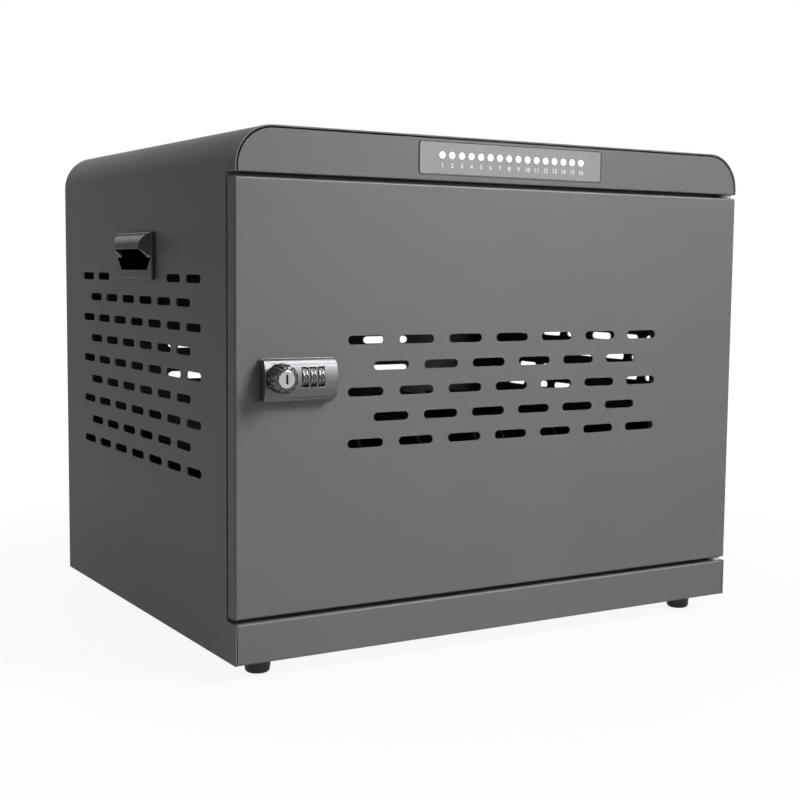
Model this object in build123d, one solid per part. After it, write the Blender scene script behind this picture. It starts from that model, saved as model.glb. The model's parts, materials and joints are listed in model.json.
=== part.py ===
from build123d import *
from math import cos, sin, radians
import os

# Charging cabinet: a bent sheet-metal body with a hinged vented door, a combination
# and key lock, two recessed handles, upright device bays and a charger under the roof.
# Frame: millimetres, +X to the right seen from the front, +Y to the back, +Z up.
# The origin is on the floor, under the middle of the whole cabinet.

# Sheet-metal body
WIDTH = 450.0            # over the two sides
DEPTH = 365.0            # door face to back face
SHEET = 1.2              # sheet thickness
CORNER_R = 28.0          # outside bend radius of the two top corners
BEND_R = 1.6             # outside radius of the small bends
SEAM = 0.5               # open seam between two sheets that butt
FIT = 0.05               # radial clearance of a pin, shaft or body in its hole
CLEAR = 0.3              # least gap between pieces that move past each other

# Feet and small machine screws
FOOT_H = 13.0
FOOT_R = 10.0
FOOT_TIP_R = 9.0
FOOT_SIDE = 28.0         # foot centre in from the side
FOOT_END = 25.0          # foot centre in from the front or the back
FOOT_FACETS = 16
RECESS_R = 5.0
RECESS_H = 5.5
SCREW_R = 2.0
HEAD_R = 3.6
HEAD_H = 2.4
SCREW_FACETS = 8         # sides of small screws, studs and their holes

# Front: plinth, door and header with even gaps
PLINTH_H = 29.0
DOOR_GAP = 3.0
DOOR_H = 300.0
HEADER_H = 32.0
DOOR_T = 12.0
BEHIND_DOOR = 3.0        # door pan to jamb face
JAMB_W = 16.0
JAMB_DEEP = 35.0
RAIL_BACK = 12.0         # sill and head rail run in past the jamb face
HEAD_LIP = 12.0
FLANGE_H = 18.0
RETURN_W = 12.0          # returned side edges of the door pan

# Vent slots with round ends; every second row is stepped by half a pitch
DOOR_SLOT = (29.0, 6.3)
DOOR_PITCH = (42.0, 18.3)
DOOR_ROWS = 5
DOOR_COLS = 7
DOOR_VENT_X = 1.5        # pattern centre right of the door's middle
DOOR_VENT_Z = 3.0        # pattern centre above the door's middle
SIDE_SLOT = (27.0, 6.0)
SIDE_PITCH = (38.3, 17.35)
SIDE_ROWS = 9
SIDE_COLS = 7
SIDE_VENT_Y = 187.2      # pattern centre behind the door face
SIDE_VENT_DOWN = 173.1   # pattern centre below the roof
HANDLE_COLS = 3          # slots left out of the top row, under the handle
BACK_SLOT = (52.0, 7.0)
BACK_PITCH_Z = 14.5
BACK_ROWS = 3
BACK_VENT_X = 104.0      # slot group centre from the middle
BACK_VENT_Z = 185.5      # pattern centre above the base
SLOT_FACETS = 3          # flats on each round end of a slot

# Door hinge: two fixed pins on one line near the door's right edge
HINGE_IN = 5.5           # pin axis in from the side
HINGE_BACK = 7.0         # pin axis behind the door face
PIN_R = 2.2
PIN_REACH = 9.0          # pin length inside the door
PIN_HEAD_R = 4.0
PIN_HEAD_H = 2.0
WASHER_R = 5.0
BUMPER_R = 4.0
BUMPER_IN = 20.0         # bumper centres in from the door's top and bottom edges
STIFFENER_W = 8.0
STIFFENER_T = 1.0
STIFFENER_CLEAR = 1.0    # lock to the left stiffener
STIFFENER_VENT = 4.0     # vents to the right stiffener
HINGE_BLOCK_W = 15.0
HINGE_BLOCK_H = 12.0

# Lock on the door's left edge
LOCK_L = 57.5
LOCK_H = 30.0
LOCK_X = 16.5            # left end in from the door's edge
LOCK_Z = 13.5            # lock centre above the door's middle
LOCK_BASE_T = 1.5
LOCK_RIM = 1.0           # base plate shows this far round the housing
LOCK_BODY_T = 9.0        # housing front above the base plate, at its crown
LOCK_SHOULDER_T = 5.6    # height of the housing's flat edge
LOCK_END_R = 3.0
AXIS_UP = 2.2            # knob and dial axes above the lock's middle
BARREL_X = 11.2          # knob axis from the lock's left end
BARREL_R = 9.0
BARREL_BACK = 9.0        # barrel reaches this far behind the door face
SHAFT_R = 6.0
KNOB_R = 10.0
KNOB_FACE_R = 7.9
KNOB_L = 11.5
KNOB_FLUTES = 12
FLUTE_R = 1.6
PLUG_R = 6.1
PLUG_L = 9.0
PLUG_PROUD = 0.5
PLUG_EASE = 0.4
KEYHOLE = (1.6, 6.6, 6.0)
NUT_FLATS = 24.0
NUT_T = 4.0
DIAL_X = 37.2            # middle dial from the lock's left end
DIAL_PITCH = 6.2
DIAL_T = 4.2
DIAL_R = 7.5
DIAL_PROUD = 1.1
DIAL_ROOM = 8.1          # radius cleared for the wheels
DIAL_COUNT = 3
DIAL_FACETS = 10
DIAL_GROOVE = 0.8
DIAL_WINDOW_H = 13.6
AXLE_R = 1.0
AXLE_SEAT = 1.5          # axle ends let into the case walls
CASE_WALL = 2.0
BACK_PLATE_T = 1.5
CAM_T = 2.0
CAM_W = 12.0
CAM_REACH = 24.0
CAM_TAIL = 8.0
CAM_CUT = 2.5
CAM_SCREW_R = 4.5
CAM_SCREW_H = 2.6
CAM_GAP = 0.5            # cam to strike plate when locked
STRIKE_T = 1.2
STRIKE_H = 44.0

# Handles: one moulded scoop on each side
HANDLE_Y = 183.5         # handle centre behind the door face
HANDLE_DOWN = 87.2       # handle centre below the roof
HANDLE_L = 76.0
HANDLE_H = 36.0
HANDLE_FLANGE = 3.2
HOOD_OUT = 9.5
HOOD_END = 10.0          # hood lip stops this far from the flange's ends
HOOD_LIP_Z = 4.9         # lip above the handle centre
CHEEK_Z = -0.5           # foot of the end cheeks, from the handle centre
MOUTH_L = 54.0
MOUTH_Z = -10.2          # lower edge of the mouth, from the handle centre
POCKET_DEEP = 24.0
POCKET_TOP = 12.5
HANDLE_WALL = 2.0
CATCH = (8.0, 1.0, 3.0)  # snap catch behind the sheet: length, height, depth

# Indicator panel in the header
PANEL_W = 164.0
PANEL_H = 22.5
PANEL_DOWN = 15.8        # panel centre below the roof
PANEL_R = 2.0
PANEL_PROUD = 0.3
PANEL_RIM = 3.0
PANEL_BACK_T = 1.4
LED_PITCH = 8.37
LED_R = 2.45
LED_FACETS = 12
LED_ABOVE = 2.2          # lamp row above the panel centre
LED_PROUD = 0.4
BOARD_BACK = 6.5         # board front behind the door face
BOARD_T = 1.6
BOARD_H = 18.0
SPACER_R = 3.0

# Device bays
BAYS = 16
DIVIDER_T = 2.0
DIVIDER_H = 125.0
DIVIDER_L = 250.0
DIVIDER_IN = 20.0        # divider front behind the jamb face
DIVIDER_CUT = 24.0       # front top corner cut off at 45 degrees
DIVIDER_FOOT_W = 10.0
TRAY_BACK = 45.0         # tray stops this far from the back sheet
TRAY_SIDE = 3.0

# Charger under the roof and its sockets
CHARGER_SIDE = 3.0       # fixing ears stop this far from the roof's bends
CHARGER_H = 65.8
CHARGER_IN = 60.0        # front behind the door face
CHARGER_DEEP = 130.0
CHARGER_WALL = 1.5
CHARGER_EAR = 12.0
SOCKET_END = 6.0         # socket row stops this far from the charger's sides
SOCKET_Z = 12.0          # socket row above the charger's underside
SOCKET = (14.4, 7.0)     # opening of one socket
SOCKET_DEEP = 14.0
SOCKET_WALL = 0.6
TONGUE = (10.4, 1.8)
STUD_R = 2.0
STUD_NUT_R = 4.0
STUD_NUT_H = 3.2

# Mains inlet with fuse drawer and rocker switch, on the back
INLET_IN = 75.0          # module centre in from the right side
INLET_DOWN = 49.0        # module centre below the roof
MODULE = (60.0, 30.0)
MODULE_T = 2.5
MODULE_R = 3.0
MODULE_BODY = (54.0, 26.0)
MODULE_DEEP = 26.0
SOCKET_C = (24.4, 16.6)
SOCKET_C_CUT = 4.5
SOCKET_C_DEEP = 17.0
SOCKET_C_X = -13.0
PIN_BLADE = (2.0, 4.0)
PIN_SPREAD = 7.0
PIN_STEP = 4.0
PIN_FREE = 5.5           # pins end this far inside the socket's mouth
FUSE = (24.0, 5.0)
FUSE_PROUD = 0.8
FUSE_DEEP = 12.0
ROCKER_X = 15.0
ROCKER = (11.0, 19.0)
ROCKER_PIVOT = 6.0       # pivot inside the flange face
ROCKER_OVER = 0.6        # rocker ends stand this far out of the flange when level
ROCKER_EASE = 0.8        # rocker face ends this far short of the pocket's ends
ROCKER_TILT = 8.0
PIVOT_R = 1.2
PIVOT_REACH = 1.5

# Wall fixing holes in the back
FIX_R = 4.0
FIX_DX = 300.0
FIX_DZ = 220.0
FIX_Z = 190.0            # pattern centre above the base

# Places worked out from the sizes
LOCK_PROUD = LOCK_BASE_T + LOCK_BODY_T + KNOB_L + PLUG_PROUD
ROCKER_FACE = ROCKER_PIVOT + ROCKER_OVER
ROCKER_END = ROCKER[1] / 2 - ROCKER_EASE
ROCKER_TIP = ROCKER_FACE * cos(radians(ROCKER_TILT)) + ROCKER_END * sin(radians(ROCKER_TILT))
BACK_PROUD = MODULE_T - ROCKER_PIVOT + ROCKER_TIP
FRONT = (LOCK_PROUD - DEPTH - BACK_PROUD) / 2
BACK = FRONT + DEPTH
LEFT = -WIDTH / 2
RIGHT = WIDTH / 2
BASE = FOOT_H
SILL_Z = BASE + PLINTH_H
DOOR_Z = SILL_Z + DOOR_GAP
DOOR_TOP = DOOR_Z + DOOR_H
HEAD_Z = DOOR_TOP + DOOR_GAP
TOP = HEAD_Z + HEADER_H
JAMB_Y = FRONT + DOOR_T + BEHIND_DOOR
DOOR_MID = (DOOR_Z + DOOR_TOP) / 2
HINGE_X = RIGHT - HINGE_IN
HINGE_Y = FRONT + HINGE_BACK
BARREL_CX = LEFT + LOCK_X + BARREL_X
LOCK_CX = LEFT + LOCK_X + LOCK_L / 2
LOCK_CZ = DOOR_MID + LOCK_Z
AXIS_Z = LOCK_CZ + AXIS_UP
HOUSING_Y = FRONT - LOCK_BASE_T
CROWN_Y = HOUSING_Y - LOCK_BODY_T
DIAL_Y = CROWN_Y - DIAL_PROUD + DIAL_R
CAM_Y = JAMB_Y + SHEET + STRIKE_T + CAM_GAP
TRAY_Z = SILL_Z + SHEET
CHARGER_W = WIDTH - 2 * (CORNER_R + CHARGER_SIDE + CHARGER_EAR)
ROOF_Z = TOP - SHEET
CHARGER_BOTTOM = ROOF_Z - CHARGER_H
INLET_X = RIGHT - INLET_IN
INLET_CZ = TOP - INLET_DOWN
PANEL_CZ = TOP - PANEL_DOWN
HANDLE_CZ = TOP - HANDLE_DOWN


def block(x, y, z):
    """Box between two limits on each axis."""
    size = (x[1] - x[0], y[1] - y[0], z[1] - z[0])
    return Pos((x[0] + x[1]) / 2, (y[0] + y[1]) / 2, (z[0] + z[1]) / 2) * Box(*size)


def rod(r, axis, a, b, at):
    """Round bar along an axis from a to b; at holds its other two coordinates in order."""
    bar = Cylinder(r, b - a)
    mid = (a + b) / 2
    if axis == "x":
        return Pos(mid, at[0], at[1]) * Rot(0, 90, 0) * bar
    if axis == "y":
        return Pos(at[0], mid, at[1]) * Rot(90, 0, 0) * bar
    return Pos(at[0], at[1], mid) * bar


def shank(r, a, b, at):
    """Upright small screw, or the hole for one, from a up to b."""
    return Pos(at[0], at[1], a) * extrude(RegularPolygon(r, SCREW_FACETS), b - a)


def ring(r_out, r_in, axis, a, b, at):
    return rod(r_out, axis, a, b, at) - rod(r_in, axis, a - 1, b + 1, at)


def slot(size, deep):
    """Slot cutter, long along X, cutting along Y, with ends turned in a few flats."""
    radius = size[1] / 2
    run = size[0] / 2 - radius
    turns = [radians(-90 + 180 / SLOT_FACETS * k) for k in range(SLOT_FACETS + 1)]
    end = [(run + radius * cos(a), radius * sin(a)) for a in turns]
    outline = make_face(Polyline(*end, *[(-x, -z) for x, z in end], close=True))
    return Rot(90, 0, 0) * extrude(outline, deep / 2, both=True)


def side_slot(size, deep):
    """The same, long along Y and cutting along X."""
    return Rot(0, 0, 90) * slot(size, deep)


def staggered(rows, cols, pitch):
    """Offsets of a stepped slot pattern about its centre, top row first."""
    for row in range(rows):
        count = cols - row % 2
        for col in range(count):
            yield row, col, (col - (count - 1) / 2) * pitch[0], ((rows - 1) / 2 - row) * pitch[1]


def arch(inset, low, y):
    """Solid with the body's front outline drawn in by inset, from low up, between two y."""
    height = TOP - inset - low
    face = Pos(0, low + height / 2) * Rectangle(WIDTH - 2 * inset, height)
    face = fillet(face.vertices().group_by(Axis.Y)[-1], CORNER_R - inset)
    return Pos(0, y[1], 0) * extrude(Plane.XZ * face, y[1] - y[0])


def corners(dx, dy):
    return [(sx * dx, sy * dy) for sx in (-1, 1) for sy in (-1, 1)]


def foot_places():
    middle = (FRONT + BACK) / 2
    return [(x, middle + y) for x, y in corners(WIDTH / 2 - FOOT_SIDE, DEPTH / 2 - FOOT_END)]


def stud_places():
    y_mid = FRONT + CHARGER_IN + CHARGER_DEEP / 2
    dy = CHARGER_DEEP / 2 - CHARGER_EAR
    return [(x, y_mid + y) for x, y in corners(CHARGER_W / 2 + CHARGER_EAR / 2, dy)]


# Body

def outer_wrap():
    """Left side, roof and right side, bent from one sheet, notched round the door."""
    shell = arch(0, BASE, (FRONT, BACK)) - arch(SHEET, BASE - 1, (FRONT - 1, BACK + 1))
    shell -= block((LEFT - 1, RIGHT + 1), (FRONT - 1, JAMB_Y), (SILL_Z, HEAD_Z))
    cutters = []
    for row, col, along, up in staggered(SIDE_ROWS, SIDE_COLS, SIDE_PITCH):
        first = (SIDE_COLS - HANDLE_COLS) // 2
        if row == 0 and first <= col < first + HANDLE_COLS:
            continue
        place = Pos(0, FRONT + SIDE_VENT_Y + along, TOP - SIDE_VENT_DOWN + up)
        cutters.append(place * side_slot(SIDE_SLOT, WIDTH + 2))
    y = FRONT + HANDLE_Y
    half = MOUTH_L / 2 + HANDLE_WALL + FIT
    low = HANDLE_CZ + MOUTH_Z - HANDLE_WALL - FIT
    high = HANDLE_CZ + POCKET_TOP + HANDLE_WALL + FIT
    cutters.append(block((LEFT - 1, RIGHT + 1), (y - half, y + half), (low, high)))
    return shell - cutters


def base_pan():
    """Bottom sheet with the plinth face, sill, side and back flanges bent from it."""
    inner = (LEFT + SHEET, RIGHT - SHEET)
    back = BACK - SHEET
    pan = block(inner, (FRONT, back), (BASE, SILL_Z))
    pan = fillet(pan.edges().filter_by(Axis.X).group_by(Axis.Y)[0], BEND_R)
    room = (inner[0] + SHEET, inner[1] - SHEET)
    pan -= block(room, (FRONT + SHEET, back - SHEET), (BASE + SHEET, SILL_Z - SHEET))
    pan -= block(room, (JAMB_Y + RAIL_BACK, back - SHEET), (BASE + SHEET, SILL_Z + 1))
    pan -= block((LEFT, RIGHT), (FRONT + SHEET, BACK), (BASE + FLANGE_H, SILL_Z - SHEET))
    pan -= block((LEFT, RIGHT), (JAMB_Y + RAIL_BACK, BACK), (BASE + FLANGE_H, SILL_Z + 1))
    pan -= [shank(SCREW_R + FIT, BASE - 1, BASE + SHEET + 1, at) for at in foot_places()]
    return pan - rod(PIN_R + FIT, "z", SILL_Z - SHEET - 1, SILL_Z + 1, (HINGE_X, HINGE_Y))


def header_panel():
    """Face over the door, with the head rail, its lip and the window for the indicators."""
    outline = arch(SHEET, HEAD_Z, (FRONT, JAMB_Y + RAIL_BACK))
    face = arch(SHEET + SEAM, HEAD_Z, (FRONT, FRONT + SHEET))
    rail = outline & block((LEFT, RIGHT), (FRONT + SHEET, BACK), (HEAD_Z, HEAD_Z + SHEET))
    lip_x = (LEFT + SHEET + JAMB_W, RIGHT - SHEET - JAMB_W)
    lip = block(lip_x, (JAMB_Y, JAMB_Y + SHEET), (HEAD_Z - HEAD_LIP, HEAD_Z + SHEET))
    panel = face + rail + lip
    panel = fillet(panel.edges().filter_by(Axis.X).group_by(Axis.Y)[0].sort_by(Axis.Z)[0], BEND_R / 2)
    window = RectangleRounded(PANEL_W + 2 * SEAM, PANEL_H + 2 * SEAM, PANEL_R + SEAM)
    panel -= Pos(0, FRONT, PANEL_CZ) * Rot(90, 0, 0) * extrude(window, SHEET * 2, both=True)
    return panel - rod(PIN_R + FIT, "z", HEAD_Z - 1, HEAD_Z + SHEET + 1, (HINGE_X, HINGE_Y))


def jamb(side):
    """Angle behind one edge of the door: a front face and a flange along the side sheet."""
    inner = WIDTH / 2 - SHEET
    z = (SILL_Z, HEAD_Z)
    face = block((inner - JAMB_W, inner), (JAMB_Y, JAMB_Y + SHEET), z)
    flange = block((inner - SHEET, inner), (JAMB_Y, JAMB_Y + JAMB_DEEP), z)
    angle = face + flange
    return angle if side > 0 else angle.mirror(Plane.YZ)


def back_panel():
    """Back sheet with forward flanges, vent slots, wall fixing holes and the inlet opening."""
    y = (BACK - SHEET, BACK)
    panel = arch(SHEET + FIT, BASE, (y[0] - FLANGE_H, BACK))
    panel -= arch(2 * SHEET, BASE + FLANGE_H, (y[0] - FLANGE_H - 1, y[0]))
    panel -= block((LEFT, RIGHT), (y[0] - FLANGE_H - 1, y[0]), (BASE - 1, BASE + FLANGE_H + 1))
    cutters = []
    for side in (-1, 1):
        for row in range(BACK_ROWS):
            z = BASE + BACK_VENT_Z + ((BACK_ROWS - 1) / 2 - row) * BACK_PITCH_Z
            cutters.append(Pos(side * BACK_VENT_X, BACK, z) * slot(BACK_SLOT, 4 * SHEET))
    for x, z in corners(FIX_DX / 2, FIX_DZ / 2):
        cutters.append(rod(FIX_R, "y", y[0] - 1, BACK + 1, (x, BASE + FIX_Z + z)))
    width = MODULE_BODY[0] / 2 + FIT
    height = MODULE_BODY[1] / 2 + FIT
    z = (INLET_CZ - height, INLET_CZ + height)
    cutters.append(block((INLET_X - width, INLET_X + width), (y[0] - 1, BACK + 1), z))
    return panel - cutters


def foot():
    """Tapered rubber foot at the origin, hollowed for its screw head."""
    outline = RegularPolygon(FOOT_TIP_R, FOOT_FACETS)
    cone = loft([outline, Pos(0, 0, FOOT_H) * RegularPolygon(FOOT_R, FOOT_FACETS)])
    return cone - shank(RECESS_R, -1, RECESS_H, (0, 0)) - shank(SCREW_R + FIT, 0, FOOT_H, (0, 0))


def feet():
    return [Pos(x, y, 0) * foot() for x, y in foot_places()]


def foot_screws():
    """Pan-head screws up through the feet, each with its nut inside the base."""
    screws = []
    nut_z = BASE + SHEET
    for at in foot_places():
        head = shank(HEAD_R, RECESS_H - HEAD_H, RECESS_H, at)
        bolt = shank(SCREW_R, RECESS_H - HEAD_H / 2, nut_z + STUD_NUT_H + 1, at)
        nut = Pos(at[0], at[1], nut_z) * extrude(RegularPolygon(STUD_NUT_R, 6), STUD_NUT_H)
        screws.append(head + bolt + nut)
    return screws


# Device bays

def device_tray():
    """Raised floor of the bays on folded sides and a folded rear leg."""
    side = WIDTH / 2 - 2 * SHEET - TRAY_SIDE
    back = BACK - SHEET - TRAY_BACK
    front = JAMB_Y + SHEET + CLEAR
    legs = BASE + SHEET
    tray = block((-side, side), (front, back), (SILL_Z, TRAY_Z))
    behind = JAMB_Y + RAIL_BACK + CLEAR
    for s in (-1, 1):
        x = sorted((s * side, s * (side - SHEET)))
        tray += block(x, (behind, back), (legs, TRAY_Z))
    tray += block((-side, side), (back - SHEET, back), (legs, TRAY_Z))
    return tray


def bay_pitch():
    return (WIDTH - 2 * (SHEET + JAMB_W)) / BAYS


def dividers():
    """Upright moulded plates on the tray, each with a foot and a cut front corner."""
    plates = []
    for i in range(1, BAYS):
        x = (i - BAYS / 2) * bay_pitch()
        y = (JAMB_Y + DIVIDER_IN, JAMB_Y + DIVIDER_IN + DIVIDER_L)
        plate = block((x - DIVIDER_T / 2, x + DIVIDER_T / 2), y, (TRAY_Z, TRAY_Z + DIVIDER_H))
        top = plate.edges().filter_by(Axis.X).group_by(Axis.Z)[-1]
        plate = chamfer(top.sort_by(Axis.Y)[0], DIVIDER_CUT)
        foot_x = (x - DIVIDER_FOOT_W / 2, x + DIVIDER_FOOT_W / 2)
        plates.append(plate + block(foot_x, y, (TRAY_Z, TRAY_Z + DIVIDER_T)))
    return plates


# Charger

def charger_box():
    x = (-CHARGER_W / 2, CHARGER_W / 2)
    y = (FRONT + CHARGER_IN, FRONT + CHARGER_IN + CHARGER_DEEP)
    return x, y


def charger_housing():
    """Folded case under the roof, open to the front and the roof, with fixing ears."""
    x, y = charger_box()
    t = CHARGER_WALL
    case = block(x, y, (CHARGER_BOTTOM, ROOF_Z))
    case -= block((x[0] + t, x[1] - t), (y[0] - 1, y[1] - t), (CHARGER_BOTTOM + t, ROOF_Z + 1))
    case += block((x[0] - CHARGER_EAR, x[0]), y, (ROOF_Z - t, ROOF_Z))
    case += block((x[1], x[1] + CHARGER_EAR), y, (ROOF_Z - t, ROOF_Z))
    return case - [shank(STUD_R + FIT, ROOF_Z - t - 1, ROOF_Z + 1, at) for at in stud_places()]


def socket_places():
    pitch = (CHARGER_W - 2 * SOCKET_END) / BAYS
    return [(i - (BAYS - 1) / 2) * pitch for i in range(BAYS)]


def charger_cover():
    """Front plate of the charger with one opening per bay."""
    x, y = charger_box()
    t = CHARGER_WALL
    plate = block((x[0] + t, x[1] - t), (y[0], y[0] + t), (CHARGER_BOTTOM + t, ROOF_Z))
    z = CHARGER_BOTTOM + SOCKET_Z
    half = (SOCKET[0] / 2 + SOCKET_WALL, SOCKET[1] / 2 + SOCKET_WALL)
    cut_y = (y[0] - 1, y[0] + t + 1)
    return plate - [block((c - half[0], c + half[0]), cut_y, (z - half[1], z + half[1]))
                    for c in socket_places()]


def usb_sockets():
    """Socket shells, closed behind, each with its contact tongue."""
    x, y = charger_box()
    z = CHARGER_BOTTOM + SOCKET_Z
    shells = []
    for c in socket_places():
        w = SOCKET[0] / 2
        h = SOCKET[1] / 2
        s = SOCKET_WALL
        deep = (y[0] - s, y[0] + SOCKET_DEEP)
        shell = block((c - w - s, c + w + s), deep, (z - h - s, z + h + s))
        shell -= block((c - w, c + w), (deep[0] - 1, deep[1] - s), (z - h, z + h))
        tongue_y = (y[0] + CHARGER_WALL, deep[1] - s / 2)
        tongue_z = (z + h / 2 - TONGUE[1], z + h / 2)
        shells.append(shell + block((c - TONGUE[0] / 2, c + TONGUE[0] / 2), tongue_y, tongue_z))
    return shells


def charger_studs():
    """Weld studs under the roof with the nuts that hold the charger's ears."""
    studs = []
    for at in stud_places():
        low = ROOF_Z - CHARGER_WALL - STUD_NUT_H
        stud = shank(STUD_R, low - 2, ROOF_Z, at)
        nut = Pos(at[0], at[1], low) * extrude(RegularPolygon(STUD_NUT_R, 6), STUD_NUT_H)
        studs.append(stud + nut)
    return studs


# Mains inlet on the back

def inlet_socket_cut():
    """Socket hollow with its two lower corners cut off, at the origin, opening to +Y."""
    face = Rectangle(*SOCKET_C)
    face = chamfer(face.vertices().group_by(Axis.Y)[-1], SOCKET_C_CUT)
    return Pos(0, 1, 0) * extrude(Plane.XZ * face, SOCKET_C_DEEP + 1)


def inlet_module():
    """Moulded inlet: flange, body, socket hollow, fuse pocket and rocker pocket."""
    flange = extrude(RectangleRounded(*MODULE, MODULE_R), MODULE_T)
    flange = Pos(INLET_X, BACK + MODULE_T, INLET_CZ) * Rot(90, 0, 0) * flange
    half = (MODULE_BODY[0] / 2, MODULE_BODY[1] / 2)
    x = (INLET_X - half[0], INLET_X + half[0])
    z = (INLET_CZ - half[1], INLET_CZ + half[1])
    face = BACK + MODULE_T
    module = flange + block(x, (BACK - MODULE_DEEP, BACK + 0.5), z)
    fuse_z = fuse_middle()
    socket_z = socket_middle()
    module -= Pos(INLET_X + SOCKET_C_X, face, socket_z) * inlet_socket_cut()
    fx = (INLET_X + SOCKET_C_X - FUSE[0] / 2 - FIT, INLET_X + SOCKET_C_X + FUSE[0] / 2 + FIT)
    fz = (fuse_z - FUSE[1] / 2 - FIT, fuse_z + FUSE[1] / 2 + FIT)
    module -= block(fx, (face - FUSE_DEEP, face + 1), fz)
    rx = (INLET_X + ROCKER_X - ROCKER[0] / 2 - CLEAR, INLET_X + ROCKER_X + ROCKER[0] / 2 + CLEAR)
    rz = (INLET_CZ - ROCKER[1] / 2 - CLEAR, INLET_CZ + ROCKER[1] / 2 + CLEAR)
    module -= block(rx, (face - 2 * ROCKER_PIVOT - 1, face + 1), rz)
    pivot_x = (rx[0] - PIVOT_REACH, rx[1] + PIVOT_REACH)
    return module - rod(PIVOT_R + FIT, "x", pivot_x[0], pivot_x[1], (face - ROCKER_PIVOT, INLET_CZ))


def fuse_middle():
    return INLET_CZ + SOCKET_C[1] / 2 + 0.5


def socket_middle():
    return fuse_middle() - FUSE[1] / 2 - 1.2 - SOCKET_C[1] / 2


def inlet_pins():
    """Three flat contact blades standing in the socket hollow."""
    face = BACK + MODULE_T
    y = (face - SOCKET_C_DEEP, face - PIN_FREE)
    x = INLET_X + SOCKET_C_X
    z = socket_middle()
    half = (PIN_BLADE[0] / 2, PIN_BLADE[1] / 2)
    places = [(x - PIN_SPREAD, z - 1), (x + PIN_SPREAD, z - 1), (x, z - 1 + PIN_STEP)]
    return [block((px - half[0], px + half[0]), y, (pz - half[1], pz + half[1])) for px, pz in places]


def fuse_drawer():
    """Fuse carrier pushed in over the socket, with a finger notch."""
    face = BACK + MODULE_T
    x = INLET_X + SOCKET_C_X
    z = fuse_middle()
    w = FUSE[0] / 2
    h = FUSE[1] / 2
    body = block((x - w, x + w), (face - FUSE_DEEP, face + FUSE_PROUD), (z - h, z + h))
    return body - rod(1.4, "z", z - h - 1, z + h + 1, (x, face + FUSE_PROUD + 0.6))


def power_rocker():
    """Rocker with two slightly sloped faces, tilted on its pivot at rest."""
    w = ROCKER[0] / 2
    heel = (-ROCKER_PIVOT / 2, ROCKER_END / 2)
    hollow = ROCKER_FACE - 0.9
    side = [(heel[0], -heel[1]), (ROCKER_FACE, -ROCKER_END), (hollow, 0), (ROCKER_FACE, ROCKER_END), heel]
    face = make_face(Polyline(*side, close=True))
    body = Pos(-w, 0, 0) * extrude(Plane.YZ * face, 2 * w)
    body += rod(PIVOT_R, "x", -w - PIVOT_REACH, w + PIVOT_REACH, (0, 0))
    body = Rot(ROCKER_TILT, 0, 0) * body
    return Pos(INLET_X + ROCKER_X, BACK + MODULE_T - ROCKER_PIVOT, INLET_CZ) * body


# Handles

def handle(side):
    """Moulded scoop: flange, curved hood over the mouth, end cheeks and a pocket inside."""
    half = HANDLE_L / 2
    tall = HANDLE_H / 2
    t = HANDLE_WALL
    flange = Rot(0, 90, 0) * extrude(RectangleRounded(HANDLE_H, HANDLE_L, 2.5), HANDLE_FLANGE)
    lip = Vector(HOOD_OUT, HOOD_LIP_Z)
    crest = Vector(HANDLE_FLANGE, tall - 0.8)
    belly = Vector(HOOD_OUT * 0.86, (HOOD_LIP_Z + tall) / 2 + 1.2)
    root = 0.2
    outline = [
        Line((root, CHEEK_Z), (HANDLE_FLANGE, CHEEK_Z)),
        Line((HANDLE_FLANGE, CHEEK_Z), lip),
        ThreePointArc(lip, belly, crest),
        Line(crest, (root, tall - 0.8)),
        Line((root, tall - 0.8), (root, CHEEK_Z)),
    ]
    hood = Pos(0, half, 0) * extrude(Plane.XZ * make_face(outline), HANDLE_L)
    plan = [(0, -half + 2), (HANDLE_FLANGE, -half + 2), (HOOD_OUT + 0.1, -half + HOOD_END),
            (HOOD_OUT + 0.1, half - HOOD_END), (HANDLE_FLANGE, half - 2), (0, half - 2)]
    hood &= Pos(0, 0, -HANDLE_H) * extrude(make_face(Polyline(*plan, close=True)), 2 * HANDLE_H)
    mouth = MOUTH_L / 2
    z = (MOUTH_Z - t, POCKET_TOP + t)
    pocket = block((-POCKET_DEEP, 0.1), (-mouth - t, mouth + t), z)
    body = flange + hood + pocket
    room = [(-POCKET_DEEP + t, MOUTH_Z + 6), (-POCKET_DEEP + t + 6, MOUTH_Z), (HOOD_OUT + 1, MOUTH_Z),
            (HOOD_OUT + 1, HOOD_LIP_Z), (HOOD_OUT - t, HOOD_LIP_Z), (HOOD_OUT - t - 1.2, POCKET_TOP - 4),
            (HANDLE_FLANGE - 1, POCKET_TOP), (-POCKET_DEEP + t, POCKET_TOP)]
    hollow = extrude(Plane.XZ * make_face(Polyline(*room, close=True)), MOUTH_L)
    body -= Pos(0, mouth, 0) * hollow
    for s in (-1, 1):
        for edge, grow in ((z[0], -1), (z[1], 1)):
            catch_z = sorted((edge, edge + grow * CATCH[1]))
            mid = s * mouth / 2
            catch_x = (-SHEET - CATCH[2], -SHEET)
            catch_y = (mid - CATCH[0] / 2, mid + CATCH[0] / 2)
            body += block(catch_x, catch_y, catch_z)
    body = Pos(WIDTH / 2, FRONT + HANDLE_Y, HANDLE_CZ) * body
    return body if side > 0 else body.mirror(Plane.YZ)


# Indicator panel

def led_places():
    return [(i - (BAYS - 1) / 2) * LED_PITCH for i in range(BAYS)]


def lamp(r, a, b, x):
    """Faceted bar along Y on the lamp row, between a and b."""
    bar = extrude(RegularPolygon(r, LED_FACETS), b - a)
    return Pos(x, b, PANEL_CZ + LED_ABOVE) * Rot(90, 0, 0) * bar


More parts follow.
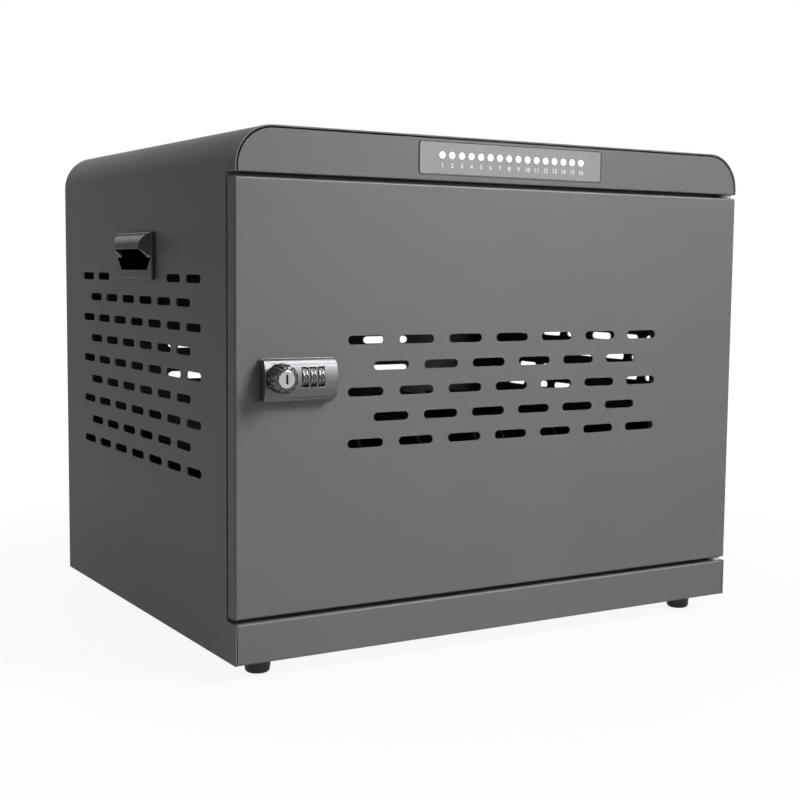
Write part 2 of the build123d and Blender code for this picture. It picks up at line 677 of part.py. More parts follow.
def indicator_bezel():
    """Panel in the header's window with its flange behind the sheet and the lamp holes."""
    face = extrude(RectangleRounded(PANEL_W, PANEL_H, PANEL_R), SHEET + PANEL_PROUD + 0.1)
    face = Pos(0, FRONT + SHEET + 0.1, PANEL_CZ) * Rot(90, 0, 0) * face
    half = (PANEL_W / 2 + PANEL_RIM, PANEL_H / 2 + PANEL_RIM)
    z = (PANEL_CZ - half[1] + 1, PANEL_CZ + half[1] - 1.2)
    back = block((-half[0], half[0]), (FRONT + SHEET, FRONT + SHEET + PANEL_BACK_T), z)
    bezel = face + back
    y = (FRONT - 1, FRONT + SHEET + PANEL_BACK_T + 1)
    return bezel - [lamp(LED_R + FIT, y[0], y[1], x) for x in led_places()]


def indicator_lenses():
    """Lamp lenses through the panel, standing on the board."""
    front = FRONT - PANEL_PROUD - LED_PROUD
    return [lamp(LED_R, front, FRONT + BOARD_BACK, x) for x in led_places()]


def indicator_board():
    half = PANEL_W / 2
    y = (FRONT + BOARD_BACK, FRONT + BOARD_BACK + BOARD_T)
    z = (PANEL_CZ - BOARD_H / 2, PANEL_CZ + BOARD_H / 2)
    return block((-half, half), y, z)


def board_spacers():
    y = (FRONT + SHEET + PANEL_BACK_T, FRONT + BOARD_BACK)
    places = [(-PANEL_W / 2 + SPACER_R + 2, PANEL_CZ), (PANEL_W / 2 - SPACER_R - 2, PANEL_CZ)]
    return [rod(SPACER_R, "y", y[0], y[1], at) for at in places]


# Door and hinge

def door_panel():
    """Pan with bent flanges, returned side edges, vent slots and the lock's openings."""
    pan = block((LEFT, RIGHT), (FRONT, FRONT + DOOR_T), (DOOR_Z, DOOR_TOP))
    pan = fillet(pan.faces().sort_by(Axis.Y)[0].edges(), BEND_R)
    inner = (LEFT + SHEET, RIGHT - SHEET)
    z = (DOOR_Z + SHEET, DOOR_TOP - SHEET)
    pan -= block(inner, (FRONT + SHEET, FRONT + DOOR_T - SHEET), z)
    pan -= block((inner[0] + RETURN_W, inner[1] - RETURN_W), (FRONT + SHEET, FRONT + DOOR_T + 1), z)
    cutters = []
    for row, col, along, up in staggered(DOOR_ROWS, DOOR_COLS, DOOR_PITCH):
        place = Pos(DOOR_VENT_X + along, FRONT, DOOR_MID + DOOR_VENT_Z + up)
        cutters.append(place * slot(DOOR_SLOT, 4 * SHEET))
    cutters.append(rod(BARREL_R + FIT, "y", FRONT - 1, FRONT + 2 * SHEET, (BARREL_CX, AXIS_Z)))
    x, z = case_limits(FIT)
    cutters.append(block(x, (FRONT - 1, FRONT + 2 * SHEET), z))
    cutters.append(rod(PIN_R + CLEAR, "z", DOOR_Z - 1, DOOR_TOP + 1, (HINGE_X, HINGE_Y)))
    return pan - cutters


def door_stiffeners():
    """Two upright channels behind the door sheet, either side of the vents."""
    vents = DOOR_VENT_X + (DOOR_COLS - 1) / 2 * DOOR_PITCH[0] + DOOR_SLOT[0] / 2
    y = (FRONT + SHEET, FRONT + DOOR_T - SHEET)
    z = (DOOR_Z + SHEET, DOOR_TOP - SHEET)
    t = STIFFENER_T
    channels = []
    for x in (LEFT + LOCK_X + LOCK_L + STIFFENER_CLEAR, vents + STIFFENER_VENT):
        bar = block((x, x + STIFFENER_W), y, z)
        channels.append(bar - block((x + t, x + STIFFENER_W - t), (y[0] - 1, y[1] - t), (z[0] - 1, z[1] + 1)))
    return channels


def hinge_blocks():
    """Moulded bearing blocks in the door's right corners, bored for the pins."""
    x = (RIGHT - SHEET - HINGE_BLOCK_W, RIGHT - SHEET)
    y = (FRONT + SHEET, FRONT + DOOR_T - SHEET)
    blocks = []
    for z in ((DOOR_Z + SHEET, DOOR_Z + SHEET + HINGE_BLOCK_H), (DOOR_TOP - SHEET - HINGE_BLOCK_H, DOOR_TOP - SHEET)):
        blocks.append(block(x, y, z) - rod(PIN_R + FIT, "z", z[0] - 1, z[1] + 1, (HINGE_X, HINGE_Y)))
    return blocks


def hinge_pins():
    """Headed pins through the sill and the head rail into the door."""
    at = (HINGE_X, HINGE_Y)
    low = SILL_Z - SHEET
    high = HEAD_Z + SHEET
    lower = rod(PIN_R, "z", low, DOOR_Z + PIN_REACH, at) + rod(PIN_HEAD_R, "z", low - PIN_HEAD_H, low, at)
    upper = rod(PIN_R, "z", DOOR_TOP - PIN_REACH, high, at) + rod(PIN_HEAD_R, "z", high, high + PIN_HEAD_H, at)
    return [lower, upper]


def hinge_washers():
    at = (HINGE_X, HINGE_Y)
    lower = ring(WASHER_R, PIN_R + FIT, "z", SILL_Z, DOOR_Z - CLEAR, at)
    upper = ring(WASHER_R, PIN_R + FIT, "z", DOOR_TOP + CLEAR, HEAD_Z, at)
    return [lower, upper]


def door_bumpers():
    """Rubber dots on the left jamb that the closed door rests against."""
    x = LEFT + SHEET + RETURN_W / 2
    y = (FRONT + DOOR_T + CLEAR, JAMB_Y)
    return [rod(BUMPER_R, "y", y[0], y[1], (x, z)) for z in (DOOR_Z + BUMPER_IN, DOOR_TOP - BUMPER_IN)]


def strike_plate():
    """Thick plate behind the left jamb that the cam pulls against."""
    x = (LEFT + 2 * SHEET, LEFT + SHEET + JAMB_W)
    y = (JAMB_Y + SHEET, JAMB_Y + SHEET + STRIKE_T)
    return block(x, y, (LOCK_CZ - STRIKE_H / 2, LOCK_CZ + STRIKE_H / 2))


# Lock

def dial_places():
    first = LEFT + LOCK_X + DIAL_X
    return [first + (i - (DIAL_COUNT - 1) / 2) * DIAL_PITCH for i in range(DIAL_COUNT)]


def case_limits(grow):
    """X and Z limits of the housing's rear part, which goes through the door."""
    xs = dial_places()
    side = DIAL_T / 2 + CLEAR + CASE_WALL + grow
    tall = DIAL_ROOM + CASE_WALL + grow
    return (xs[0] - side, xs[-1] + side), (AXIS_Z - tall, AXIS_Z + tall)


def case_back():
    return DIAL_Y + DIAL_R + CLEAR + 0.5


def lock_base():
    """Moulded plate between the lock and the painted door."""
    x = (LOCK_CX - LOCK_L / 2, LOCK_CX + LOCK_L / 2)
    z = (LOCK_CZ - LOCK_H / 2, LOCK_CZ + LOCK_H / 2)
    plate = block(x, (HOUSING_Y, FRONT), z)
    plate = fillet(plate.edges().filter_by(Axis.Y), 1.5)
    plate -= rod(BARREL_R + FIT, "y", HOUSING_Y - 1, FRONT + 1, (BARREL_CX, AXIS_Z))
    cx, cz = case_limits(FIT)
    return plate - block(cx, (HOUSING_Y - 1, FRONT + 1), cz)


def lock_housing():
    """Cast housing with a crowned front, dial windows, rear case and threaded barrel."""
    half = LOCK_H / 2 - LOCK_RIM
    length = LOCK_L - 2 * LOCK_RIM
    shoulder = HOUSING_Y - LOCK_SHOULDER_T
    outline = [
        Line((HOUSING_Y, -half), (shoulder, -half)),
        ThreePointArc((shoulder, -half), (CROWN_Y, 0), (shoulder, half)),
        Line((shoulder, half), (HOUSING_Y, half)),
        Line((HOUSING_Y, half), (HOUSING_Y, -half)),
    ]
    body = extrude(Plane.YZ * make_face(outline), length)
    body = Pos(LOCK_CX - length / 2, 0, LOCK_CZ) * body
    body = fillet(body.edges().filter_by(Axis.Y).group_by(Axis.X)[-1], LOCK_END_R)
    barrel = (BARREL_CX, AXIS_Z)
    body += rod(BARREL_R, "y", CROWN_Y + 2, FRONT + BARREL_BACK, barrel)
    cx, cz = case_limits(0)
    body += block(cx, (HOUSING_Y - 1, case_back()), cz)
    cutters = [rod(SHAFT_R + FIT, "y", CROWN_Y - 1, FRONT + BARREL_BACK + 1, barrel)]
    cutters.append(rod(KNOB_R + 0.6, "y", CROWN_Y - 1, CROWN_Y + 0.4, barrel))
    for x in dial_places():
        w = DIAL_T / 2 + CLEAR
        cutters.append(rod(DIAL_ROOM, "x", x - w, x + w, (DIAL_Y, AXIS_Z)))
        window_z = (AXIS_Z - DIAL_WINDOW_H / 2, AXIS_Z + DIAL_WINDOW_H / 2)
        cutters.append(block((x - w, x + w), (CROWN_Y - 1, DIAL_Y), window_z))
        room_z = (AXIS_Z - DIAL_ROOM, AXIS_Z + DIAL_ROOM)
        cutters.append(block((x - w, x + w), (DIAL_Y, case_back() + 1), room_z))
    cutters.append(dial_axle())
    return body - cutters


def dial_axle():
    reach = DIAL_T / 2 + CLEAR + AXLE_SEAT
    xs = dial_places()
    return rod(AXLE_R, "x", xs[0] - reach, xs[-1] + reach, (DIAL_Y, AXIS_Z))


def dial(i):
    """Number wheel with a flat for each digit and a groove between flats."""
    x = dial_places()[i]
    wheel = extrude(RegularPolygon(DIAL_R, DIAL_FACETS), DIAL_T / 2, both=True)
    wheel = Rot(0, 90, 0) * Rot(0, 0, 180 / DIAL_FACETS) * wheel
    groove = Pos(0, DIAL_R, 0) * Rot(45, 0, 0) * Box(2 * DIAL_T, DIAL_GROOVE, DIAL_GROOVE)
    wheel -= [Rot(360 / DIAL_FACETS * k, 0, 0) * groove for k in range(DIAL_FACETS)]
    wheel -= rod(AXLE_R + FIT, "x", -DIAL_T, DIAL_T, (0, 0))
    return Pos(x, DIAL_Y, AXIS_Z) * wheel


def lock_back_plate():
    cx, cz = case_limits(0)
    y = case_back()
    return block(cx, (y, y + BACK_PLATE_T), cz)


def lock_nut():
    """Hexagon nut on the barrel, clamping the lock to the door."""
    nut = extrude(RegularPolygon(NUT_FLATS / 2, 6, major_radius=False), NUT_T)
    nut = Pos(BARREL_CX, FRONT + SHEET + NUT_T, AXIS_Z) * Rot(90, 0, 0) * nut
    return nut - rod(BARREL_R + FIT, "y", FRONT, FRONT + SHEET + NUT_T + 1, (BARREL_CX, AXIS_Z))


def turn_knob():
    """Fluted knob and its shaft, turned about the barrel's line and bored for the key plug."""
    face_y = CROWN_Y - KNOB_L
    base_y = CROWN_Y + 0.4 - CLEAR
    outline = [
        (0, face_y), (KNOB_FACE_R, face_y), (KNOB_R, face_y + 2.2), (KNOB_R, base_y - 1.5),
        (KNOB_R - 0.5, base_y), (SHAFT_R, base_y), (SHAFT_R, CAM_Y), (0, CAM_Y),
    ]
    body = revolve(make_face(Polyline(*outline, close=True)), Axis.Y)
    cutters = [rod(PLUG_R + FIT, "y", face_y - 1, face_y + PLUG_L, (0, 0))]
    flute = Rot(90, 0, 0) * extrude(RegularPolygon(FLUTE_R, 6), base_y - 2.5 - face_y + 1)
    flute = Pos(KNOB_R + 0.7, base_y - 2.5, 0) * flute
    cutters += [Rot(0, 360 / KNOB_FLUTES * k, 0) * flute for k in range(KNOB_FLUTES)]
    cutters.append(rod(SCREW_R + FIT, "y", CAM_Y - 6, CAM_Y + 1, (0, 0)))
    return Pos(BARREL_CX, 0, AXIS_Z) * (body - cutters)


def key_plug():
    """Key plug in the knob's face with its keyway."""
    face_y = CROWN_Y - KNOB_L - PLUG_PROUD
    plug = rod(PLUG_R, "y", face_y, face_y + PLUG_PROUD + PLUG_L - CLEAR, (BARREL_CX, AXIS_Z))
    plug = chamfer(plug.edges().sort_by(Axis.Y)[0], PLUG_EASE)
    w = KEYHOLE[0] / 2
    h = KEYHOLE[1] / 2
    x = (BARREL_CX - w, BARREL_CX + w)
    return plug - block(x, (face_y - 1, face_y + KEYHOLE[2]), (AXIS_Z - h, AXIS_Z + h))


def lock_cam():
    """Flat cam on the shaft's end, pointing down while unlocked."""
    w = CAM_W / 2
    z = (AXIS_Z - CAM_REACH, AXIS_Z + CAM_TAIL)
    cam = block((BARREL_CX - w, BARREL_CX + w), (CAM_Y, CAM_Y + CAM_T), z)
    cam = chamfer(cam.edges().filter_by(Axis.Y), CAM_CUT)
    return cam - rod(SCREW_R + FIT, "y", CAM_Y - 1, CAM_Y + CAM_T + 1, (BARREL_CX, AXIS_Z))


def cam_screw():
    at = (BARREL_CX, AXIS_Z)
    head = rod(CAM_SCREW_R, "y", CAM_Y + CAM_T, CAM_Y + CAM_T + CAM_SCREW_H, at)
    return head + rod(SCREW_R, "y", CAM_Y - 5, CAM_Y + CAM_T, at)


PARTS = {
    "outer_wrap": outer_wrap,
    "base_pan": base_pan,
    "header_panel": header_panel,
    "left_jamb": lambda: jamb(-1),
    "right_jamb": lambda: jamb(1),
    "back_panel": back_panel,
    "feet": feet,
    "foot_screws": foot_screws,
    "device_tray": device_tray,
    "dividers": dividers,
    "charger_housing": charger_housing,
    "charger_cover": charger_cover,
    "usb_sockets": usb_sockets,
    "charger_studs": charger_studs,
    "inlet_module": inlet_module,
    "inlet_pins": inlet_pins,
    "fuse_drawer": fuse_drawer,
    "power_rocker": power_rocker,
    "left_handle": lambda: handle(-1),
    "right_handle": lambda: handle(1),
    "indicator_bezel": indicator_bezel,
    "indicator_lenses": indicator_lenses,
    "indicator_board": indicator_board,
    "board_spacers": board_spacers,
    "door_panel": door_panel,
    "door_stiffeners": door_stiffeners,
    "hinge_blocks": hinge_blocks,
    "hinge_pins": hinge_pins,
    "hinge_washers": hinge_washers,
    "door_bumpers": door_bumpers,
    "strike_plate": strike_plate,
    "lock_base": lock_base,
    "lock_housing": lock_housing,
    "lock_back_plate": lock_back_plate,
    "lock_nut": lock_nut,
    "dial_axle": dial_axle,
    "dial_1": lambda: dial(0),
    "dial_2": lambda: dial(1),
    "dial_3": lambda: dial(2),
    "turn_knob": turn_knob,
    "key_plug": key_plug,
    "lock_cam": lock_cam,
    "cam_screw": cam_screw,
}

os.makedirs("parts", exist_ok=True)
for name, make in PARTS.items():
    shape = make()
    if isinstance(shape, list):
        shape = Compound(children=shape)
    export_step(shape, "parts/" + name + ".step")
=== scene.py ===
import json
import bmesh
import bpy
import numpy as np
from mathutils import Matrix, Vector


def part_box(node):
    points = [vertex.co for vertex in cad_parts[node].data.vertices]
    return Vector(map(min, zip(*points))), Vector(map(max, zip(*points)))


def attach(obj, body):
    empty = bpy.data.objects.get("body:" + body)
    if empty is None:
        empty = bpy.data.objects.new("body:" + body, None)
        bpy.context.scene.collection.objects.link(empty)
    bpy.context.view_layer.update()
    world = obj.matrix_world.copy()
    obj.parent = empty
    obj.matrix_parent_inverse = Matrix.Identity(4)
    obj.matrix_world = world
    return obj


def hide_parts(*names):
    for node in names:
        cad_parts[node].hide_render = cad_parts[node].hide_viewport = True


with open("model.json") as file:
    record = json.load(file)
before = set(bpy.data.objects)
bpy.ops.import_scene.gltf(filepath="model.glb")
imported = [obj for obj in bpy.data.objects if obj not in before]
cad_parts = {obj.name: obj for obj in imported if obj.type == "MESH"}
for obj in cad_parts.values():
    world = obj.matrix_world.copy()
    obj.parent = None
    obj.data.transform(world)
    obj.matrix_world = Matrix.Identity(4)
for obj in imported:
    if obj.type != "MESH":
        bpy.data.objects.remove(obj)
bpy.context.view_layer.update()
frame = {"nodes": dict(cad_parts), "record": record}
nodes = frame["nodes"]
record = frame["record"]


# Outer wrap: the left side, the roof and the right side of the cabinet are one 1.2 mm steel
# sheet, punched with staggered ventilation slots, bent to 28 mm corners, welded to the base
# pan and powder coated dark grey.

MM = 0.001


def linear(hex_colour):
    """An sRGB hex colour as linear RGBA: each channel goes through the sRGB curve."""
    channels = np.array([int(hex_colour[i:i + 2], 16) for i in (1, 3, 5)]) / 255
    low = channels / 12.92
    high = ((channels + 0.055) / 1.055) ** 2.4
    return (*np.where(channels <= 0.04045, low, high), 1.0)


def add(tree, kind, settings=None, **links):
    """Adds a node; settings are its properties or socket values, links are sockets that feed it,
    by name with _ for a space or by number as i0, i1."""
    node = tree.nodes.new(kind)
    for key, value in (settings or {}).items():
        if isinstance(key, str) and hasattr(node, key):
            setattr(node, key, value)
        else:
            node.inputs[key].default_value = value
    for key, source in links.items():
        numbered = key[0] == "i" and key[1:].isdigit()
        target = node.inputs[int(key[1:])] if numbered else node.inputs[key.replace("_", " ")]
        tree.links.new(source, target)
    return node


def skin(name, dark, light, roughness, blotch, grain, depth, metallic=0.0, streak=(1, 1, 1),
         spread=0.03, **sockets):
    """A surface as it leaves the maker. Its colour wanders from dark to light over blotch metres
    and its roughness with it by spread. A grain of a real size and depth, both in metres, is its
    bump; streak squeezes that grain along an axis, as a brush or a roller leaves it."""
    made = bpy.data.materials.new(name)
    made.use_nodes = True
    tree = made.node_tree
    shader = tree.nodes["Principled BSDF"]
    shader.inputs["Metallic"].default_value = metallic
    for key, value in sockets.items():
        shader.inputs[key.replace("_", " ")].default_value = value
    place = add(tree, "ShaderNodeTexCoord").outputs["Object"]
    wander = add(tree, "ShaderNodeTexNoise", {"Scale": 1 / blotch, "Detail": 4.0}, Vector=place)
    tones = add(tree, "ShaderNodeMix", {"data_type": "RGBA"}, i0=wander.outputs["Fac"])
    tones.inputs[6].default_value = linear(dark)
    tones.inputs[7].default_value = linear(light)
    tree.links.new(tones.outputs[2], shader.inputs["Base Color"])
    limits = {"To Min": roughness - spread, "To Max": roughness + spread}
    sheen = add(tree, "ShaderNodeMapRange", limits, Value=wander.outputs["Fac"])
    tree.links.new(sheen.outputs["Result"], shader.inputs["Roughness"])
    drawn = add(tree, "ShaderNodeMapping", {"Scale": streak}, Vector=place)
    fine = add(tree, "ShaderNodeTexNoise", {"Scale": 1 / grain, "Detail": 2.0}, Vector=drawn.outputs[0])
    bump = add(tree, "ShaderNodeBump", {"Strength": 1.0, "Distance": depth}, Height=fine.outputs["Fac"])
    tree.links.new(bump.outputs["Normal"], shader.inputs["Normal"])
    return made


# Powder coated steel: an even satin skin with a fine orange peel, drawn 0.9 mm across where
# the real one is about 0.4 mm, so that it shows.
charcoal_coat = skin("charcoal_powder_coat", "#626263", "#676768", 0.44, 60 * MM, 0.9 * MM, 0.012 * MM,
                     Specular_IOR_Level=0.4)


def place_piece(piece, material, body):
    """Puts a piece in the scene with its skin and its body."""
    bpy.context.scene.collection.objects.link(piece)
    piece.data.materials.clear()
    piece.data.materials.append(material)
    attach(piece, body)


def surface(name, points, faces, material, body, slot):
    """Mesh piece from arrays, smooth and in place."""
    mesh = bpy.data.meshes.new(name)
    mesh.from_pydata(np.asarray(points, float).tolist(), [], [list(f) for f in faces])
    mesh.polygons.foreach_set("use_smooth", np.ones(len(mesh.polygons), bool))
    mesh.update()
    piece = bpy.data.objects.new(name, mesh)
    place_piece(piece, material, body)
    return piece


def ease(piece, edge, segments=2, angle=0.6):
    """Rounds the sharp edges of a piece and keeps its flats flat."""
    bevel = piece.modifiers.new("edge", "BEVEL")
    bevel.width = edge
    bevel.segments = segments
    bevel.limit_method = "ANGLE"
    bevel.angle_limit = angle
    bevel.use_clamp_overlap = True
    piece.modifiers.new("flats", "WEIGHTED_NORMAL")


def thicken(piece, thickness, edge):
    """Gives a one-sided sheet its thickness inwards and eases its cut edges."""
    wall = piece.modifiers.new("wall", "SOLIDIFY")
    wall.thickness = thickness
    wall.offset = -1
    ease(piece, edge)


def weld(points, faces):
    """Drops the points that no face uses and joins those that fall together."""
    used, back = np.unique(faces, return_inverse=True)
    kept, corners = points[used], back.reshape(faces.shape)
    keys = np.round(kept / (0.01 * MM)).astype(int)
    _, first, same = np.unique(keys, axis=0, return_index=True, return_inverse=True)
    return kept[first], same.reshape(-1)[corners]


def slot_ring(steps_u, steps_v):
    """Steps round a slot's cell, counter-clockwise from its lower right corner."""
    right = [(steps_u, j) for j in range(steps_v)]
    top = [(i, steps_v) for i in range(steps_u, 0, -1)]
    left = [(0, j) for j in range(steps_v, 0, -1)]
    bottom = [(i, 0) for i in range(steps_u)]
    return np.array(right + top + left + bottom)


def slot_outline(length, height):
    """Outline of a round-ended slot in 24 points that pair with slot_ring(8, 4): each end is a
    half circle in eight steps, the straight runs have four steps."""
    half = (length - height) / 2
    radius = height / 2
    turn = np.radians(np.arange(-45, 91, 22.5))
    run = np.linspace(half, -half, 5)[1:-1]
    east = np.stack([half + radius * np.cos(turn), radius * np.sin(turn)], -1)
    north = np.stack([run, np.full(3, radius)], -1)
    west_turn = np.radians(np.arange(90, 271, 22.5))
    west = np.stack([-half + radius * np.cos(west_turn), radius * np.sin(west_turn)], -1)
    south = np.stack([-run, np.full(3, -radius)], -1)
    last_turn = np.radians(np.array([-90, -67.5]))
    last = np.stack([half + radius * np.cos(last_turn), radius * np.sin(last_turn)], -1)
    return np.concatenate([east, north, west, south, last])


def slotted_sheet(u, v, cells, slot, hole):
    """Flat sheet on the grid lines u and v, without the faces whose middles hole says are cut
    away. A cell of 8 by 4 steps listed in cells becomes a ring from its slot's outline to its
    border. Returns points (n, 2) and faces turning from u to v."""
    grid = np.stack(np.meshgrid(u, v, indexing="ij"), -1)
    number = np.arange(len(u) * len(v)).reshape(len(u), len(v))
    middle = (grid[:-1, :-1] + grid[1:, 1:]) / 2
    keep = ~hole(middle[..., 0], middle[..., 1])
    for i, j in cells:
        keep[i:i + 8, j:j + 4] = False
    quads = np.stack([number[:-1, :-1], number[1:, :-1], number[1:, 1:], number[:-1, 1:]], -1)[keep]
    cells = np.array(cells)
    ring = slot_ring(8, 4)
    border = number[cells[:, :1] + ring[:, 0], cells[:, 1:] + ring[:, 1]]
    centre = (grid[cells[:, 0], cells[:, 1]] + grid[cells[:, 0] + 8, cells[:, 1] + 4]) / 2
    outline = centre[:, None] + slot_outline(*slot)
    inner = number.size + np.arange(outline.shape[0] * 24).reshape(-1, 24)
    ahead = np.roll(np.arange(24), -1)
    rings = np.stack([inner, border, border[:, ahead], inner[:, ahead]], -1).reshape(-1, 4)
    points = np.concatenate([grid.reshape(-1, 2), outline.reshape(-1, 2)])
    return points, np.concatenate([quads, rings])


def lines(*runs):
    """Grid lines from (start, end, steps) runs, each run's start left out where runs meet."""
    parts = [np.linspace(a, b, n + 1) for a, b, n in runs]
    return np.concatenate([parts[0]] + [p[1:] for p in parts[1:]])


def line_at(grid_lines, place):
    """Number of the grid line at a place."""
    return int(np.argmin(np.abs(grid_lines - place)))


def stagger(first_u, first_v, rows, columns, skip=()):
    """Cells of a slot field: odd rows hold one slot less and start half a pitch in."""
    return [(first_u + 8 * c + 4 * (r % 2), first_v + 4 * (rows - 1 - r))
            for r in range(rows) for c in range(columns - r % 2) if (r, c) not in skip]


wrap_low, wrap_high = (np.array(corner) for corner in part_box("outer_wrap"))
wrap_width, wrap_depth, wrap_height = wrap_high - wrap_low
sheet = 1.2 * MM
coat_edge = 0.25 * MM
bend = 28 * MM
side_slot = (27 * MM, 6 * MM)
pitch_y, pitch_z = 38.3 * MM, 17.35 * MM
slots_from_front, slots_below_roof = 187.2 * MM, 173.1 * MM
field_y = slots_from_front + np.array([-3.5, 3.5]) * pitch_y
field_z = wrap_height - slots_below_roof + np.array([-4.5, 4.5]) * pitch_z
notch_deep, notch_low, notch_high = 15 * MM, 29 * MM, 335 * MM
opening_y = np.array([153.6, 216.0]) * MM
opening_z = np.array([263.2, 295.0]) * MM
side = wrap_height - bend
quarter = bend * np.pi / 2
roof = wrap_width - 2 * bend
girth = 2 * side + 2 * quarter + roof
up = lines((0, notch_low, 1), (notch_low, field_z[0], 2), (*field_z, 36), (field_z[1], opening_z[1], 2),
           (opening_z[1], notch_high, 2), (notch_high, side, 1), (side, side + quarter, 16),
           (side + quarter, side + quarter + 2 * MM, 1), (side + quarter + 2 * MM, girth / 2, 3))
v_lines = np.concatenate([up, girth - up[-2::-1]])
u_lines = lines((0, notch_deep, 1), (notch_deep, field_y[0], 2), (*field_y, 56),
                (field_y[1], wrap_depth, 2))
under_handle = [(0, 2), (0, 3), (0, 4)]
left_cells = stagger(line_at(u_lines, field_y[0]), line_at(v_lines, field_z[0]), 9, 7, under_handle)
right_cells = [(i, len(v_lines) - 1 - j - 4) for i, j in left_cells]


def wrap_opening(u, v):
    """True in the door notch and in the two handle openings, by depth u and height v."""
    height = np.minimum(v, girth - v)
    notch = (u < notch_deep) & (height > notch_low) & (height < notch_high)
    across = (u > opening_y[0]) & (u < opening_y[1])
    return notch | (across & (height > opening_z[0]) & (height < opening_z[1]))


def bend_sheet(u, v):
    """Carries depth u and girth v onto the bent outline: straight up the left side, a quarter
    circle of the bend radius, across the roof, and down again as the mirror image."""
    height = np.minimum(v, girth - v)
    angle = np.clip((height - side) / bend, 0, np.pi / 2)
    across = np.clip(height - side - quarter, 0, None)
    x = wrap_low[0] + bend * (1 - np.cos(angle)) + across
    z = wrap_low[2] + np.minimum(height, side) + bend * np.sin(angle)
    x = np.where(v > girth / 2, -x, x)
    return np.stack([x, wrap_low[1] + u, z], -1)


flat, faces = slotted_sheet(u_lines, v_lines, left_cells + right_cells, side_slot, wrap_opening)
bent, faces = weld(bend_sheet(*flat.T), faces)
wrap = surface("bent_outer_wrap", bent, faces[:, ::-1], charcoal_coat, "cabinet", "painted_steel")
thicken(wrap, sheet, coat_edge)
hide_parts("outer_wrap")


# Base pan, header, jambs and back: cut and folded from the same sheet, welded inside the wrap
# and coated with it. The header's and the base's front faces end at open seams beside the
# wrap, and every cut edge is rounded by the coat.

body_of = {node: body for body, members in record["behaviour"]["bodies"].items() for node in members}


def eased_copy(node, name, edge, material, segments=2, angle=0.6):
    """A copy of a CAD node that replaces it: points joined, flats made whole, sharp edges
    rounded by edge metres."""
    shape = bmesh.new()
    shape.from_mesh(nodes[node].data)
    bmesh.ops.remove_doubles(shape, verts=shape.verts, dist=0.003 * MM)
    bmesh.ops.dissolve_limit(shape, angle_limit=0.004, verts=shape.verts, edges=shape.edges)
    for face in shape.faces:
        face.smooth = True
    mesh = bpy.data.meshes.new(name)
    shape.to_mesh(mesh)
    shape.free()
    mesh.set_sharp_from_angle(angle=angle)
    piece = bpy.data.objects.new(name, mesh)
    place_piece(piece, material, body_of[node])
    ease(piece, edge, segments, angle)
    piece.modifiers["edge"].use_clamp_overlap = False
    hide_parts(node)
    return piece


def open_seam(piece, gap):
    """Draws the front face of a folded sheet in from the wrap by gap metres: sideways beyond
    the indicator window, and down at the top in proportion to the height."""
    beyond_window = 120 * MM
    corners = np.zeros(len(piece.data.vertices) * 3)
    piece.data.vertices.foreach_get("co", corners)
    corners = corners.reshape(-1, 3)
    x, y, z = corners.T
    face = y < wrap_low[1] + 2 * MM
    ends = face & (np.abs(x) > beyond_window)
    rise = (z - z[face].min()) / (z[face].max() - z[face].min())
    top_edge = face & (z > wrap_high[2] - 3 * MM)
    arched = (ends & (z > wrap_high[2] - bend - 2 * MM)) | top_edge
    corners[ends, 0] -= np.sign(x[ends]) * gap
    corners[arched, 2] -= gap * rise[arched]
    piece.data.vertices.foreach_set("co", corners.ravel())


for node in ("base_pan", "header_panel", "left_jamb", "right_jamb", "back_panel"):
    folded_sheet = eased_copy(node, "folded_" + node, coat_edge, charcoal_coat)
    if node in ("base_pan", "header_panel"):
        open_seam(folded_sheet, 0.5 * MM)


# Feet: four tapered black rubber feet with rounded treads, each hollow for the head of the
# zinc plated screw that holds it under the base.

# Moulded rubber: black, a little greasy, so each foot carries one broad soft highlight.
rubber = skin("moulded_black_rubber", "#141415", "#202021", 0.33, 6 * MM, 0.5 * MM, 0.02 * MM, spread=0.06)

# Zinc plate: pale bluish steel with cloudy passivation and a faint rolled grain.
zinc_plate = skin("zinc_plated_steel", "#a7a9ac", "#c6c7c6", 0.32, 5 * MM, 0.4 * MM, 0.006 * MM,
                  metallic=1.0, streak=(1, 1, 0.2), spread=0.08)


def turned(radius, height, steps):
    """Closed turned shape: rows of radius, one number or one for each step, at heights that run
    from the first end face to the last; x and y are radius by the step's cosine and sine."""
    height = np.asarray(height, float)
    radius = np.asarray(radius, float)
    radius = np.broadcast_to(radius.reshape(len(height), -1), (len(height), steps))
    angle = 2 * np.pi * np.arange(steps) / steps
    rise = np.broadcast_to(height[:, None], radius.shape)
    points = np.stack([radius * np.cos(angle), radius * np.sin(angle), rise], -1)
    number = np.arange(points[..., 0].size).reshape(radius.shape)
    ahead = np.roll(number, -1, axis=1)
    quads = np.stack([number[:-1], ahead[:-1], ahead[1:], number[1:]], -1).reshape(-1, 4)
    return points.reshape(-1, 3), quads.tolist() + [number[0][::-1].tolist(), number[-1].tolist()]


def at_places(points, faces, places):
    """The same shape at each place, as one mesh."""
    cloud = (points[None] + np.asarray(places, float)[:, None]).reshape(-1, 3)
    return cloud, [[i + k * len(points) for i in face] for k in range(len(places)) for face in faces]


